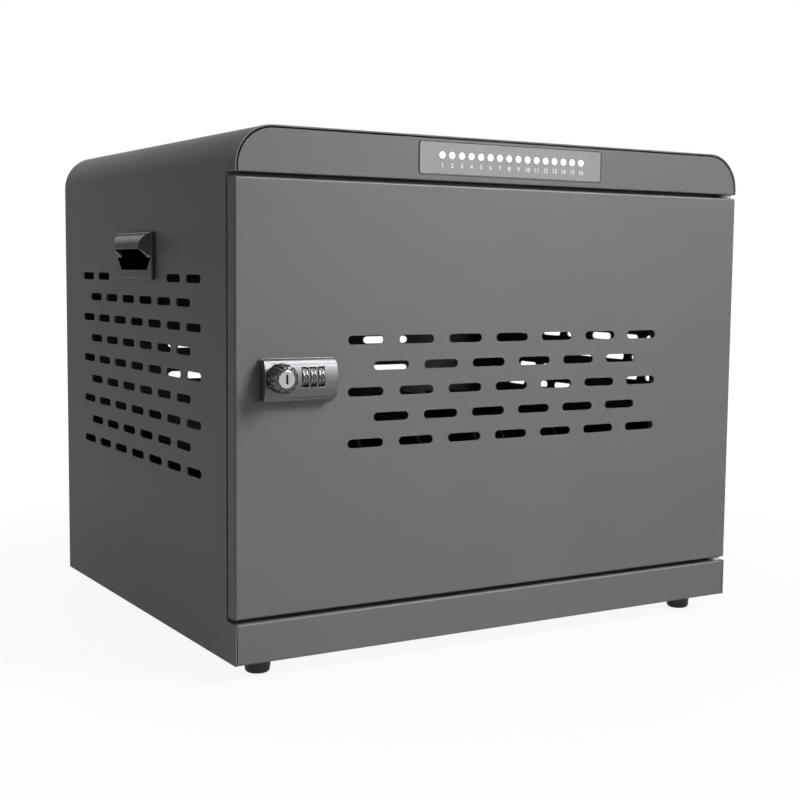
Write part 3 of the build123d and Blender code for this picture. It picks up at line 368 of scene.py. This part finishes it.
feet_low, feet_high = (np.array(corner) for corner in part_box("feet"))
foot_r, tread_r, recess_r = 10 * MM, 9 * MM, 5 * MM
foot_h, recess_h = feet_high[2] - feet_low[2], 5.5 * MM
foot_places = [(x, y, 0) for x in (feet_low[0] + foot_r, feet_high[0] - foot_r)
               for y in (feet_low[1] + foot_r, feet_high[1] - foot_r)]
roll_r = 2.6 * MM
quarter_turn = np.radians(np.linspace(-90, 0, 7))
tread = tread_r - roll_r + roll_r * np.cos(quarter_turn), roll_r + roll_r * np.sin(quarter_turn)
ease_in = 0.4 * MM
recess = (recess_r + np.array([-ease_in, 0, 0, ease_in]), np.array([recess_h, recess_h, ease_in, 0]))
collar = np.array([9.95, 9.7, 2.2]) * MM, foot_h - np.array([0.3, 0, 0]) * MM
points, faces = turned(np.concatenate([recess[0], tread[0], collar[0]]),
                       np.concatenate([recess[1], tread[1], collar[1]]), 48)
points, faces = at_places(points, faces, foot_places)
rubber_feet = surface("rubber_feet", points, faces, rubber, "cabinet", "black_rubber")
ease(rubber_feet, 0.1 * MM, 1, 1.0)
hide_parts("feet")

screw_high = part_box("foot_screws")[1][2]
shank_r, head_r, head_rise, head_rim = 2 * MM, 3.5 * MM, 1.9 * MM, 5.0 * MM
nut_r, nut_h = 4 * MM, 3.2 * MM
dome = np.radians(np.linspace(0, 80, 7))
head = head_r * np.cos(dome), head_rim - head_rise * np.sin(dome)
points, faces = turned(np.concatenate([head[0][::-1], [head_r, shank_r, shank_r]]),
                       np.concatenate([head[1][::-1], [recess_h, recess_h, screw_high]]), 24)
nut_low = foot_h + sheet
nut_points, nut_faces = turned(np.full(2, nut_r), np.array([nut_low, nut_low + nut_h]), 6)
faces += [[i + len(points) for i in face] for face in nut_faces]
points, faces = at_places(np.concatenate([points, nut_points]), faces, foot_places)
screws = surface("foot_screws_and_nuts", points, faces, zinc_plate, "cabinet", "zinc_steel")
ease(screws, 0.12 * MM, 1)
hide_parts("foot_screws")


# Device bays: a folded steel tray carries fifteen moulded black plates, one between each two
# devices, with their front corners cut off so that a device slides in easily.

# ABS: matt black moulding with the fine spark texture of its tool, 0.5 mm, coarser than real.
black_abs = skin("moulded_black_abs", "#161617", "#1e1e1f", 0.5, 25 * MM, 0.5 * MM, 0.02 * MM)

eased_copy("device_tray", "folded_device_tray", 0.2 * MM, charcoal_coat)
eased_copy("dividers", "bay_dividers", 0.4 * MM, black_abs)


# Charger: a folded black steel case hung on four weld studs under the roof. Its cover has one
# nickel plated socket shell for each bay.

# Black powder coat: deeper and a little rougher than the body's, same orange peel.
black_coat = skin("black_powder_coat", "#1b1b1c", "#232324", 0.5, 40 * MM, 0.9 * MM, 0.012 * MM)

# Nickel plate: warm pale metal, smooth from the stamped strip under it.
nickel = skin("nickel_plated_strip", "#bdb8ac", "#d2cdc2", 0.24, 4 * MM, 0.3 * MM, 0.004 * MM, metallic=1.0,
              spread=0.06)

eased_copy("charger_housing", "charger_case", 0.25 * MM, black_coat)
eased_copy("charger_cover", "charger_front_cover", 0.25 * MM, black_coat)
eased_copy("usb_sockets", "socket_shells", 0.12 * MM, nickel)
eased_copy("charger_studs", "weld_studs_and_nuts", 0.15 * MM, zinc_plate)


# Mains inlet: a moulded module snapped into the back sheet, with three flat contact blades, a
# fuse drawer over the socket and a glossy rocker switch beside it.

# Polished ABS: the rocker's tool is polished, so it shines against the matt module.
gloss_abs = skin("polished_black_abs", "#131314", "#181819", 0.14, 20 * MM, 1.5 * MM, 0.003 * MM,
                 spread=0.02)

eased_copy("inlet_module", "mains_inlet_module", 0.35 * MM, black_abs)
eased_copy("inlet_pins", "contact_blades", 0.3 * MM, nickel)
eased_copy("fuse_drawer", "fuse_carrier", 0.25 * MM, black_abs)
eased_copy("power_rocker", "rocker_key", 0.3 * MM, gloss_abs, segments=3)


# Handles: one moulded scoop snapped into each side sheet, with a raised hood to pull under.

# Glass filled nylon: near black and semi-gloss, with the soft flow lines of the moulding.
handle_nylon = skin("moulded_black_nylon", "#2b2b2d", "#333335", 0.2, 18 * MM, 1.1 * MM, 0.01 * MM,
                    spread=0.04)

for hand in ("left", "right"):
    eased_copy(hand + "_handle", hand + "_scoop_handle", 0.7 * MM, handle_nylon, segments=3, angle=0.5)


# Indicator panel: a satin moulded strip in the header's window with a black ring round it, painted shade
# that stands in for the dark gap there, sixteen lit lamp lenses standing on their board, and the bay
# numbers printed under them.

# Painted polycarbonate: pale satin grey, even, with a very fine tooth.
panel_paint = skin("satin_grey_polycarbonate", "#868688", "#8c8c8e", 0.38, 30 * MM, 0.4 * MM, 0.006 * MM)

# Lamp lens: milky acrylic lit from behind, white all over with a slightly dimmer cloud in it.
lit_lens = skin("lit_milky_acrylic", "#ececec", "#ffffff", 0.2, 3 * MM, 0.8 * MM, 0.002 * MM,
                Emission_Color=(1, 1, 1, 1), Emission_Strength=0.8)

# Screen print: pale ink, thin and a little uneven over the panel's tooth.
pale_ink = skin("pale_screen_ink", "#dadadc", "#e8e8ea", 0.5, 2 * MM, 0.3 * MM, 0.004 * MM)

# Solder mask: green lacquer with the slightly raised copper tracks showing through.
solder_mask = skin("green_solder_mask", "#0d3a22", "#1c5a36", 0.3, 4 * MM, 1.2 * MM, 0.02 * MM,
                   streak=(0.2, 1, 1))

# Nylon: waxy off-white washers, spacers and bearing blocks.
white_nylon = skin("natural_white_nylon", "#d2cfc4", "#dedbd2", 0.42, 8 * MM, 0.6 * MM, 0.01 * MM,
                   Subsurface_Weight=0.1, Subsurface_Radius=(0.002, 0.002, 0.0015))


def facing_front(points):
    """Turns what points up to point to the front: x stays, y becomes minus z, z becomes y."""
    return np.asarray(points)[..., [0, 2, 1]] * [1, -1, 1]


def rounded_outline(width, height, radius, steps):
    """Outline of a rectangle with rounded corners: each corner is a quarter circle."""
    turn = np.radians(np.linspace(0, 90, steps))
    corner = np.stack([np.cos(turn), np.sin(turn)], -1) * radius + [width / 2 - radius, height / 2 - radius]
    return np.concatenate([corner, corner[::-1] * [-1, 1], -corner, corner[::-1] * [1, -1]])


bezel_low, bezel_high = (np.array(corner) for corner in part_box("indicator_bezel"))
panel_front = bezel_low[1]
panel_w, panel_h, panel_r, panel_proud = 164 * MM, 22.5 * MM, 2 * MM, 0.3 * MM
panel_z = (bezel_low[2] + bezel_high[2]) / 2 + 0.1 * MM
eased_copy("indicator_bezel", "indicator_panel", 0.3 * MM, panel_paint, segments=3)

# The black ring is painted shade for the dark gap round the panel. Its section, as places out from the
# panel and proud of the header, is carried round the panel's outline.
profile = np.array([(0.0, -0.6), (0.25, 0.12), (0.6, 0.2), (0.95, 0.12), (1.2, -0.6)]) * MM
loop = np.stack([rounded_outline(panel_w + 2 * out, panel_h + 2 * out, panel_r + out, 6)
                 for out, _ in profile])
rise = np.broadcast_to(profile[:, 1][:, None, None], loop.shape[:2] + (1,))
header_front = panel_front + panel_proud
points = facing_front(np.concatenate([loop, rise], -1)) + [0, header_front, panel_z]
number = np.arange(loop[..., 0].size).reshape(loop.shape[:2])
around = np.roll(number, -1, axis=1)
below, after = np.roll(number, -1, axis=0), np.roll(around, -1, axis=0)
faces = np.stack([number, below, after, around], -1).reshape(-1, 4)
surface("painted_shade_ring", points.reshape(-1, 3), faces, rubber, "cabinet", "black_rubber")

lens_low, lens_high = (np.array(corner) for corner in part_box("indicator_lenses"))
lens_r, lens_pitch, lens_long = 2.45 * MM, 8.37 * MM, lens_high[1] - lens_low[1]
lamp_x = (np.arange(16) - 7.5) * lens_pitch
lamp_z = (lens_low[2] + lens_high[2]) / 2
dome_rise = 0.6 * MM
dome = np.radians(np.linspace(0, 84, 7))
points, faces = turned(np.concatenate([[lens_r], lens_r * np.cos(dome)]),
                       np.concatenate([[0], lens_long - dome_rise * (1 - np.sin(dome))]), 24)
lamp_places = np.stack([lamp_x, np.full(16, lens_high[1]), np.full(16, lamp_z)], -1)
points, faces = at_places(facing_front(points), faces, lamp_places)
lenses = surface("lit_lamp_lenses", points, faces, lit_lens, "cabinet", "lamp_white")
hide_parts("indicator_lenses")


def lettering(text, tall, bolder):
    """Plain figures as a thin closed mesh in the x-y plane, their middle at the origin, tall
    metres high, each stroke's outline moved out by bolder metres; returns points and faces. A
    figure is 0.72 of the type's size."""
    curve = bpy.data.curves.new("figures", "FONT")
    curve.body = text
    curve.size = tall / 0.72
    curve.offset = bolder
    curve.align_x = "CENTER"
    curve.align_y = "CENTER"
    curve.extrude = 0.015 * MM
    curve.resolution_u = 3
    holder = bpy.data.objects.new("figures", curve)
    mesh = bpy.data.meshes.new_from_object(holder)
    points = np.zeros(len(mesh.vertices) * 3)
    mesh.vertices.foreach_get("co", points)
    faces = [list(polygon.vertices) for polygon in mesh.polygons]
    bpy.data.objects.remove(holder)
    bpy.data.curves.remove(curve)
    bpy.data.meshes.remove(mesh)
    return points.reshape(-1, 3), faces


def joined(shapes):
    """Several (points, faces) shapes as one."""
    counts = np.cumsum([0] + [len(points) for points, _ in shapes])
    faces = [[i + start for i in face] for (_, shape), start in zip(shapes, counts) for face in shape]
    return np.concatenate([points for points, _ in shapes]), faces


number_z, ink_proud = wrap_low[2] + 346 * MM, 0.02 * MM
numbers = []
for bay, x in enumerate(lamp_x, 1):
    points, faces = lettering(str(bay), 3.3 * MM, 0.06 * MM)
    numbers.append((facing_front(points) + [x, panel_front - ink_proud, number_z], faces))
surface("printed_bay_numbers", *joined(numbers), pale_ink, "cabinet", "panel_grey")

eased_copy("indicator_board", "lamp_board", 0.15 * MM, solder_mask)
eased_copy("board_spacers", "board_spacer_posts", 0.2 * MM, white_nylon)


# Door: one sheet punched with staggered slots, folded back 12 mm all round with its corners
# welded and ground, and folded in again behind its two upright edges. It is coated like the body.

door_low, door_high = (np.array(corner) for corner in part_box("door_panel"))
door_middle = (door_low + door_high) / 2
door_deep = door_high[1] - door_low[1]
fold_r = 1.6 * MM
door_slot = (29 * MM, 6.3 * MM)
half_w, half_h = (door_high - door_low)[[0, 2]] / 2 - fold_r
fold = fold_r * np.pi / 2
skirt = door_deep - fold_r
tuck = 12 * MM
door_u = 1.5 * MM + np.array([-3.5, 3.5]) * 42 * MM
door_v = 3 * MM + np.array([-2.5, 2.5]) * 18.3 * MM
out_u = lines((half_w, half_w + fold, 4), (half_w + fold, half_w + fold + skirt, 1),
              (half_w + fold + skirt, half_w + fold + skirt + tuck, 1))
out_v = lines((half_h, half_h + fold, 4), (half_h + fold, half_h + fold + skirt, 1))
inner_u = lines((-half_w, door_u[0], 2), (*door_u, 56), (door_u[1], half_w, 2))
inner_v = lines((-half_h, door_v[0], 3), (*door_v, 20), (door_v[1], half_h, 3))
u_lines = np.concatenate([-out_u[:0:-1], inner_u, out_u[1:]])
v_lines = np.concatenate([-out_v[:0:-1], inner_v, out_v[1:]])
cells = stagger(line_at(u_lines, door_u[0]), line_at(v_lines, door_v[0]), 5, 7)


def blank_corner(u, v):
    """True where the flat blank is cut out at its four corners, beyond both folds."""
    return (np.abs(u) > half_w + fold) & (np.abs(v) > half_h + fold)


def folded(distance, half):
    """Place and depth of the blank at a distance from its middle: straight to half, a quarter
    circle of the fold radius, then straight back along the skirt."""
    angle = np.clip((np.abs(distance) - half) / fold_r, 0, np.pi / 2)
    past = np.clip(np.abs(distance) - half - fold, 0, None)
    place = np.sign(distance) * (np.minimum(np.abs(distance), half) + fold_r * np.sin(angle))
    return place, fold_r * (1 - np.cos(angle)) + np.minimum(past, skirt), np.clip(past - skirt, 0, None)


def fold_door(u, v):
    """Carries the blank onto the folded door: both directions fold alike, the deeper one says
    how far back a point lies, and the tuck comes back towards the middle."""
    x, deep_u, back = folded(u, half_w)
    z, deep_v, _ = folded(v, half_h)
    x = x - np.sign(u) * back
    return np.stack([x, np.maximum(deep_u, deep_v), z], -1) + [door_middle[0], door_low[1], door_middle[2]]


flat, faces = slotted_sheet(u_lines, v_lines, cells, door_slot, blank_corner)
bent, faces = weld(fold_door(*flat.T), faces)
door = surface("folded_slotted_door", bent, faces, charcoal_coat, "door", "painted_steel")
thicken(door, sheet, coat_edge)
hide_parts("door_panel")

eased_copy("door_stiffeners", "door_stiffener_channels", 0.2 * MM, charcoal_coat)


# Hinge: headed zinc plated pins through the sill and the head rail turn in nylon blocks inside
# the door, on nylon washers. Two rubber dots stop the closed door against the left jamb.

eased_copy("hinge_blocks", "hinge_bearing_blocks", 0.3 * MM, white_nylon)
eased_copy("hinge_pins", "headed_hinge_pins", 0.2 * MM, zinc_plate)
eased_copy("hinge_washers", "hinge_spacer_washers", 0.15 * MM, white_nylon)
eased_copy("door_bumpers", "door_bumper_dots", 0.3 * MM, rubber)
eased_copy("strike_plate", "cam_strike_plate", 0.2 * MM, zinc_plate)


# Lock: a die-cast housing with a crowned front on a plated moulded base, clamped through the
# door by a nut on its barrel. Three number wheels show in its windows, and a fluted knob
# carries the key plug and, behind the door, the cam.

# Satin chrome over die-cast zinc: bead blasted before plating, so its shine is soft and grey.
satin_chrome = skin("satin_chrome_zinc", "#6c6c6e", "#7d7d7f", 0.5, 7 * MM, 0.5 * MM, 0.012 * MM,
                    metallic=1.0, streak=(0.5, 1, 1), spread=0.05)

# Smoked chrome: the plating of the knob and the base plate is darker and more mirror-like, so
# the flutes keep sharp reflections.
smoked_chrome = skin("smoked_chrome_zinc", "#5c5c5e", "#707072", 0.22, 6 * MM, 0.6 * MM, 0.006 * MM,
                     metallic=1.0)

# Bright chrome: a mirror with the finest polishing lines.
bright_chrome = skin("bright_chrome_brass", "#e4e4e6", "#f2f2f4", 0.1, 5 * MM, 0.3 * MM, 0.002 * MM,
                     metallic=1.0, streak=(0.2, 1, 1), spread=0.02)

# Wheel metal: turned zinc, plain and a little dull, with turning lines round the wheel.
wheel_zinc = skin("turned_wheel_zinc", "#7c7c7e", "#8e8e90", 0.42, 2 * MM, 0.25 * MM, 0.006 * MM,
                  metallic=1.0, streak=(3, 0.5, 0.5))

# Figure enamel: black paint wiped into the figures, with a slightly dull skin.
figure_enamel = skin("black_figure_enamel", "#0b0b0c", "#151516", 0.4, 1 * MM, 0.2 * MM, 0.003 * MM)

eased_copy("lock_base", "lock_base_plate", 0.35 * MM, smoked_chrome)
eased_copy("lock_housing", "crowned_lock_housing", 0.45 * MM, satin_chrome, segments=3)
eased_copy("lock_back_plate", "lock_case_plate", 0.2 * MM, zinc_plate)
eased_copy("lock_nut", "barrel_nut", 0.4 * MM, zinc_plate)
eased_copy("dial_axle", "dial_axle_pin", 0.1 * MM, zinc_plate)
eased_copy("lock_cam", "lock_cam_plate", 0.25 * MM, zinc_plate)
eased_copy("cam_screw", "cam_screw_head", 0.4 * MM, zinc_plate)
eased_copy("key_plug", "key_plug_face", 0.15 * MM, bright_chrome)

knob_low, knob_high = (np.array(corner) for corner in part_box("turn_knob"))
axis = np.array([(knob_low[0] + knob_high[0]) / 2, 0, (knob_low[2] + knob_high[2]) / 2])
face_at, shaft_end = -knob_low[1], -knob_high[1]
knob_long = 11.6 * MM
skirt_at = face_at - knob_long
knob_r, shaft_r, bore_r, bore_deep = 10 * MM, 6 * MM, 6.15 * MM, 9 * MM
knob_steps, flutes, flute_deep = 144, 12, 0.95 * MM
part = (np.arange(knob_steps) / knob_steps * flutes + 0.5) % 1 - 0.5
flute = flute_deep * np.exp(-(part / 0.2) ** 2)

# Each row of the knob: its radius, the share of a flute's depth taken off, and its height.
knob_rows = [
    (shaft_r, 0, shaft_end), (shaft_r, 0, skirt_at), (knob_r - 0.7 * MM, 0, skirt_at),
    (knob_r - 0.2 * MM, 0, skirt_at + 0.2 * MM), (knob_r, 0, skirt_at + 0.7 * MM),
    (knob_r, 0, skirt_at + 2.4 * MM), (knob_r, 1, skirt_at + 3.4 * MM),
    (knob_r, 1, face_at - 2.6 * MM), (knob_r - 0.3 * MM, 1, face_at - 2.0 * MM),
    (8.3 * MM, 0.5, face_at - 0.35 * MM), (7.8 * MM, 0.2, face_at), (6.5 * MM, 0, face_at),
    (bore_r, 0, face_at - 0.3 * MM), (bore_r, 0, face_at - bore_deep)]
knob_radius = np.stack([radius - cut * flute for radius, cut, _ in knob_rows])
points, faces = turned(knob_radius, [height for _, _, height in knob_rows], knob_steps)
knob = surface("fluted_turn_knob", facing_front(points) + axis, faces, smoked_chrome, "knob", "dark_chrome")
knob.data.set_sharp_from_angle(angle=0.7)
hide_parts("turn_knob")

# A black block a little behind the plug's face darkens the keyway: painted shade where the keyway lies in
# shadow.
plug_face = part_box("key_plug")[0][1]
shade_corners = np.array([[x, y, z] for x in (-0.75, 0.75) for y in (1.6, 2.2) for z in (-3.2, 3.2)]) * MM
block = [(0, 1, 3, 2), (4, 6, 7, 5), (0, 4, 5, 1), (2, 3, 7, 6), (0, 2, 6, 4), (1, 5, 7, 3)]
surface("keyway_painted_shade", shade_corners + axis + [0, plug_face, 0], block, black_abs, "plug", "black_plastic")

# Each wheel's outline is a ten-sided prism, radius over the cosine of the angle from the
# nearest flat's middle, with a soft groove along each corner and eased rims.
wheel_steps, wheel_r, groove_deep, rim_ease = 120, 7.5 * MM, 0.45 * MM, 0.4 * MM
axle_bore_r = 1.05 * MM
half_flat = 18
flat_r = wheel_r * np.cos(np.radians(half_flat))
for body, node in (("dial_a", "dial_1"), ("dial_b", "dial_2"), ("dial_c", "dial_3")):
    low, high = (np.array(corner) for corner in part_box(node))
    middle = (low + high) / 2
    wide = high[0] - low[0]
    turn = np.degrees(2 * np.pi * np.arange(wheel_steps) / wheel_steps)
    off = (turn + half_flat) % (2 * half_flat) - half_flat
    facet = flat_r / np.cos(np.radians(off))
    facet -= groove_deep * np.exp(-((half_flat - np.abs(off)) / 3.2) ** 2)
    height = np.array([-1, -1, -0.86, 0.86, 1, 1]) * wide / 2
    bore = np.full(wheel_steps, axle_bore_r)
    radius = np.stack([bore, facet - rim_ease, facet, facet, facet - rim_ease, bore])
    points, faces = turned(radius, height, wheel_steps)
    wheel = surface("number_wheel_" + node[-1], points[:, [2, 0, 1]] + middle, faces, wheel_zinc, body,
                    "dial_metal")
    wheel.data.set_sharp_from_angle(angle=0.5)
    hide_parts(node)
    figures = []
    for digit in range(10):
        points, faces = lettering(str(digit), 3.6 * MM, 0.22 * MM)
        angle = np.radians(180 + 2 * half_flat * digit)
        across = np.array([1.25, 0, 0])
        upwards = np.array([0, np.sin(angle), -np.cos(angle)])
        outwards = np.array([0, np.cos(angle), np.sin(angle)])
        placed = points @ np.stack([across, upwards, outwards])
        figures.append((placed + middle + outwards * flat_r, faces))
    surface("wheel_figures_" + node[-1], *joined(figures), figure_enamel, body, "dial_metal")


# Studio: a plain pale floor, soft boxes around the cabinet, of which the one high to the front
# right is the main one, and the camera at the photographed angle, set from the cabinet's left
# front lower corner.

corner = np.array([door_low[0], door_low[1], wrap_low[2]])
eye = corner + np.array([-378.865, -846.380, 271.796]) * MM
yaw, pitch, roll = np.radians([30.951, -5.428, 0.5615])
ahead = np.array([np.sin(yaw) * np.cos(pitch), np.cos(yaw) * np.cos(pitch), np.sin(pitch)])
level_right = np.cross(ahead, [0, 0, 1])
level_right /= np.linalg.norm(level_right)
level_up = np.cross(level_right, ahead)
right = np.cos(roll) * level_right + np.sin(roll) * level_up
upright = -np.sin(roll) * level_right + np.cos(roll) * level_up
camera = bpy.data.objects.new("camera", bpy.data.cameras.new("camera"))
bpy.context.scene.collection.objects.link(camera)
stance = np.vstack([np.column_stack([right, upright, -ahead, eye]), [0, 0, 0, 1]])
camera.matrix_world = Matrix(stance.tolist())
frame_px, focal_px, sensor_mm = 800, 1381.4, 36
camera.data.sensor_width = sensor_mm
camera.data.lens = sensor_mm * focal_px / frame_px
camera.data.clip_start = 0.01
bpy.context.scene.camera = camera

# Floor: pale painted board. To the camera it glows most of the way to white beside the
# cabinet, where it takes its shadow, and all the way farther off, where it meets the room.
floor_paint = skin("pale_painted_board", "#a6a6a6", "#aeaeae", 0.8, 0.5, 4 * MM, 0.02 * MM)
tree = floor_paint.node_tree
path = add(tree, "ShaderNodeLightPath")
mirrored = add(tree, "ShaderNodeMath", {"operation": "MULTIPLY", 1: 0.45}, i0=path.outputs["Is Glossy Ray"])
seen = add(tree, "ShaderNodeMath", {"operation": "MAXIMUM"}, i0=path.outputs["Is Camera Ray"],
           i1=mirrored.outputs[0])
place = add(tree, "ShaderNodeTexCoord").outputs["Object"]
away = add(tree, "ShaderNodeVectorMath", {"operation": "LENGTH"}, Vector=place)
near = {"From Min": 0.3, "From Max": 1.1, "To Min": 0.87, "To Max": 1.0}
bright = add(tree, "ShaderNodeMapRange", near, Value=away.outputs["Value"])
share = add(tree, "ShaderNodeMath", {"operation": "MULTIPLY"}, i0=seen.outputs[0],
            i1=bright.outputs["Result"])
glow = add(tree, "ShaderNodeEmission", {"Color": (1, 1, 1, 1), "Strength": 1.06})
blend = add(tree, "ShaderNodeMixShader", None, Fac=share.outputs[0],
            i1=tree.nodes["Principled BSDF"].outputs[0], i2=glow.outputs[0])
tree.links.new(blend.outputs[0], tree.nodes["Material Output"].inputs["Surface"])
board = bpy.data.meshes.new("floor")
reach = 30.0
board.from_pydata([(-reach, -reach, 0), (reach, -reach, 0), (reach, reach, 0), (-reach, reach, 0)], [],
                  [(0, 1, 2, 3)])
floor = bpy.data.objects.new("floor", board)
board.materials.append(floor_paint)
bpy.context.scene.collection.objects.link(floor)

# Room: white where the camera sees it, dim in mirrors and dimmer still as a lamp, so that the
# soft boxes shape the cabinet's sides.
world = bpy.data.worlds.new("studio")
world.use_nodes = True
bpy.context.scene.world = world
tree = world.node_tree
path = add(tree, "ShaderNodeLightPath")
mirrored = add(tree, "ShaderNodeMath", {"operation": "MULTIPLY", 1: 0.08}, i0=path.outputs["Is Glossy Ray"])
seen = add(tree, "ShaderNodeMath", {"operation": "MAXIMUM"}, i0=path.outputs["Is Camera Ray"],
           i1=path.outputs["Is Transmission Ray"])
either = add(tree, "ShaderNodeMath", {"operation": "MAXIMUM"}, i0=mirrored.outputs[0], i1=seen.outputs[0])
level = add(tree, "ShaderNodeMapRange", {"To Min": 0.13, "To Max": 1.0}, Value=either.outputs[0])
tree.links.new(level.outputs["Result"], tree.nodes["Background"].inputs["Strength"])
tree.nodes["Background"].inputs["Color"].default_value = (1, 1, 1, 1)


def soft_box(name, place, target, width, length, power, beam=np.pi):
    """A studio lamp of width by length metres facing a target, out of the camera's sight; beam
    is the angle of the honeycomb in front of it, pi for none."""
    lamp = bpy.data.lights.new(name, "AREA")
    lamp.shape = "RECTANGLE"
    lamp.size = width
    lamp.size_y = length
    lamp.energy = power
    lamp.spread = beam
    holder = bpy.data.objects.new(name, lamp)
    holder.visible_camera = False
    holder.location = place
    holder.rotation_euler = (Vector(target) - Vector(place)).to_track_quat("-Z", "Y").to_euler()
    bpy.context.scene.collection.objects.link(holder)


soft_box("key_lamp", (1.0, -1.2, 1.5), (0.12, -0.18, 0.5), 1.0, 1.0, 5.4, 0.72)
soft_box("front_lamp", (1.05, -2.0, 0.5), (0, 0, 0.25), 0.45, 0.45, 4.5)
soft_box("top_lamp", (0.0, 0.2, 2.2), (0, 0, 0.3), 0.8, 0.8, 6)
soft_box("back_lamp", (0.45, 2.3, 0.9), (0, 0, 0.35), 2.8, 1.4, 8)
soft_box("edge_lamp", (-2.0, -1.25, 0.55), (0, 0, 0.25), 0.25, 1.2, 1.2)
soft_box("fill_lamp", (-1.0, -1.75, 0.6), (0, 0, 0.2), 0.3, 0.3, 2.4)

bpy.context.scene.view_settings.view_transform = "Standard"
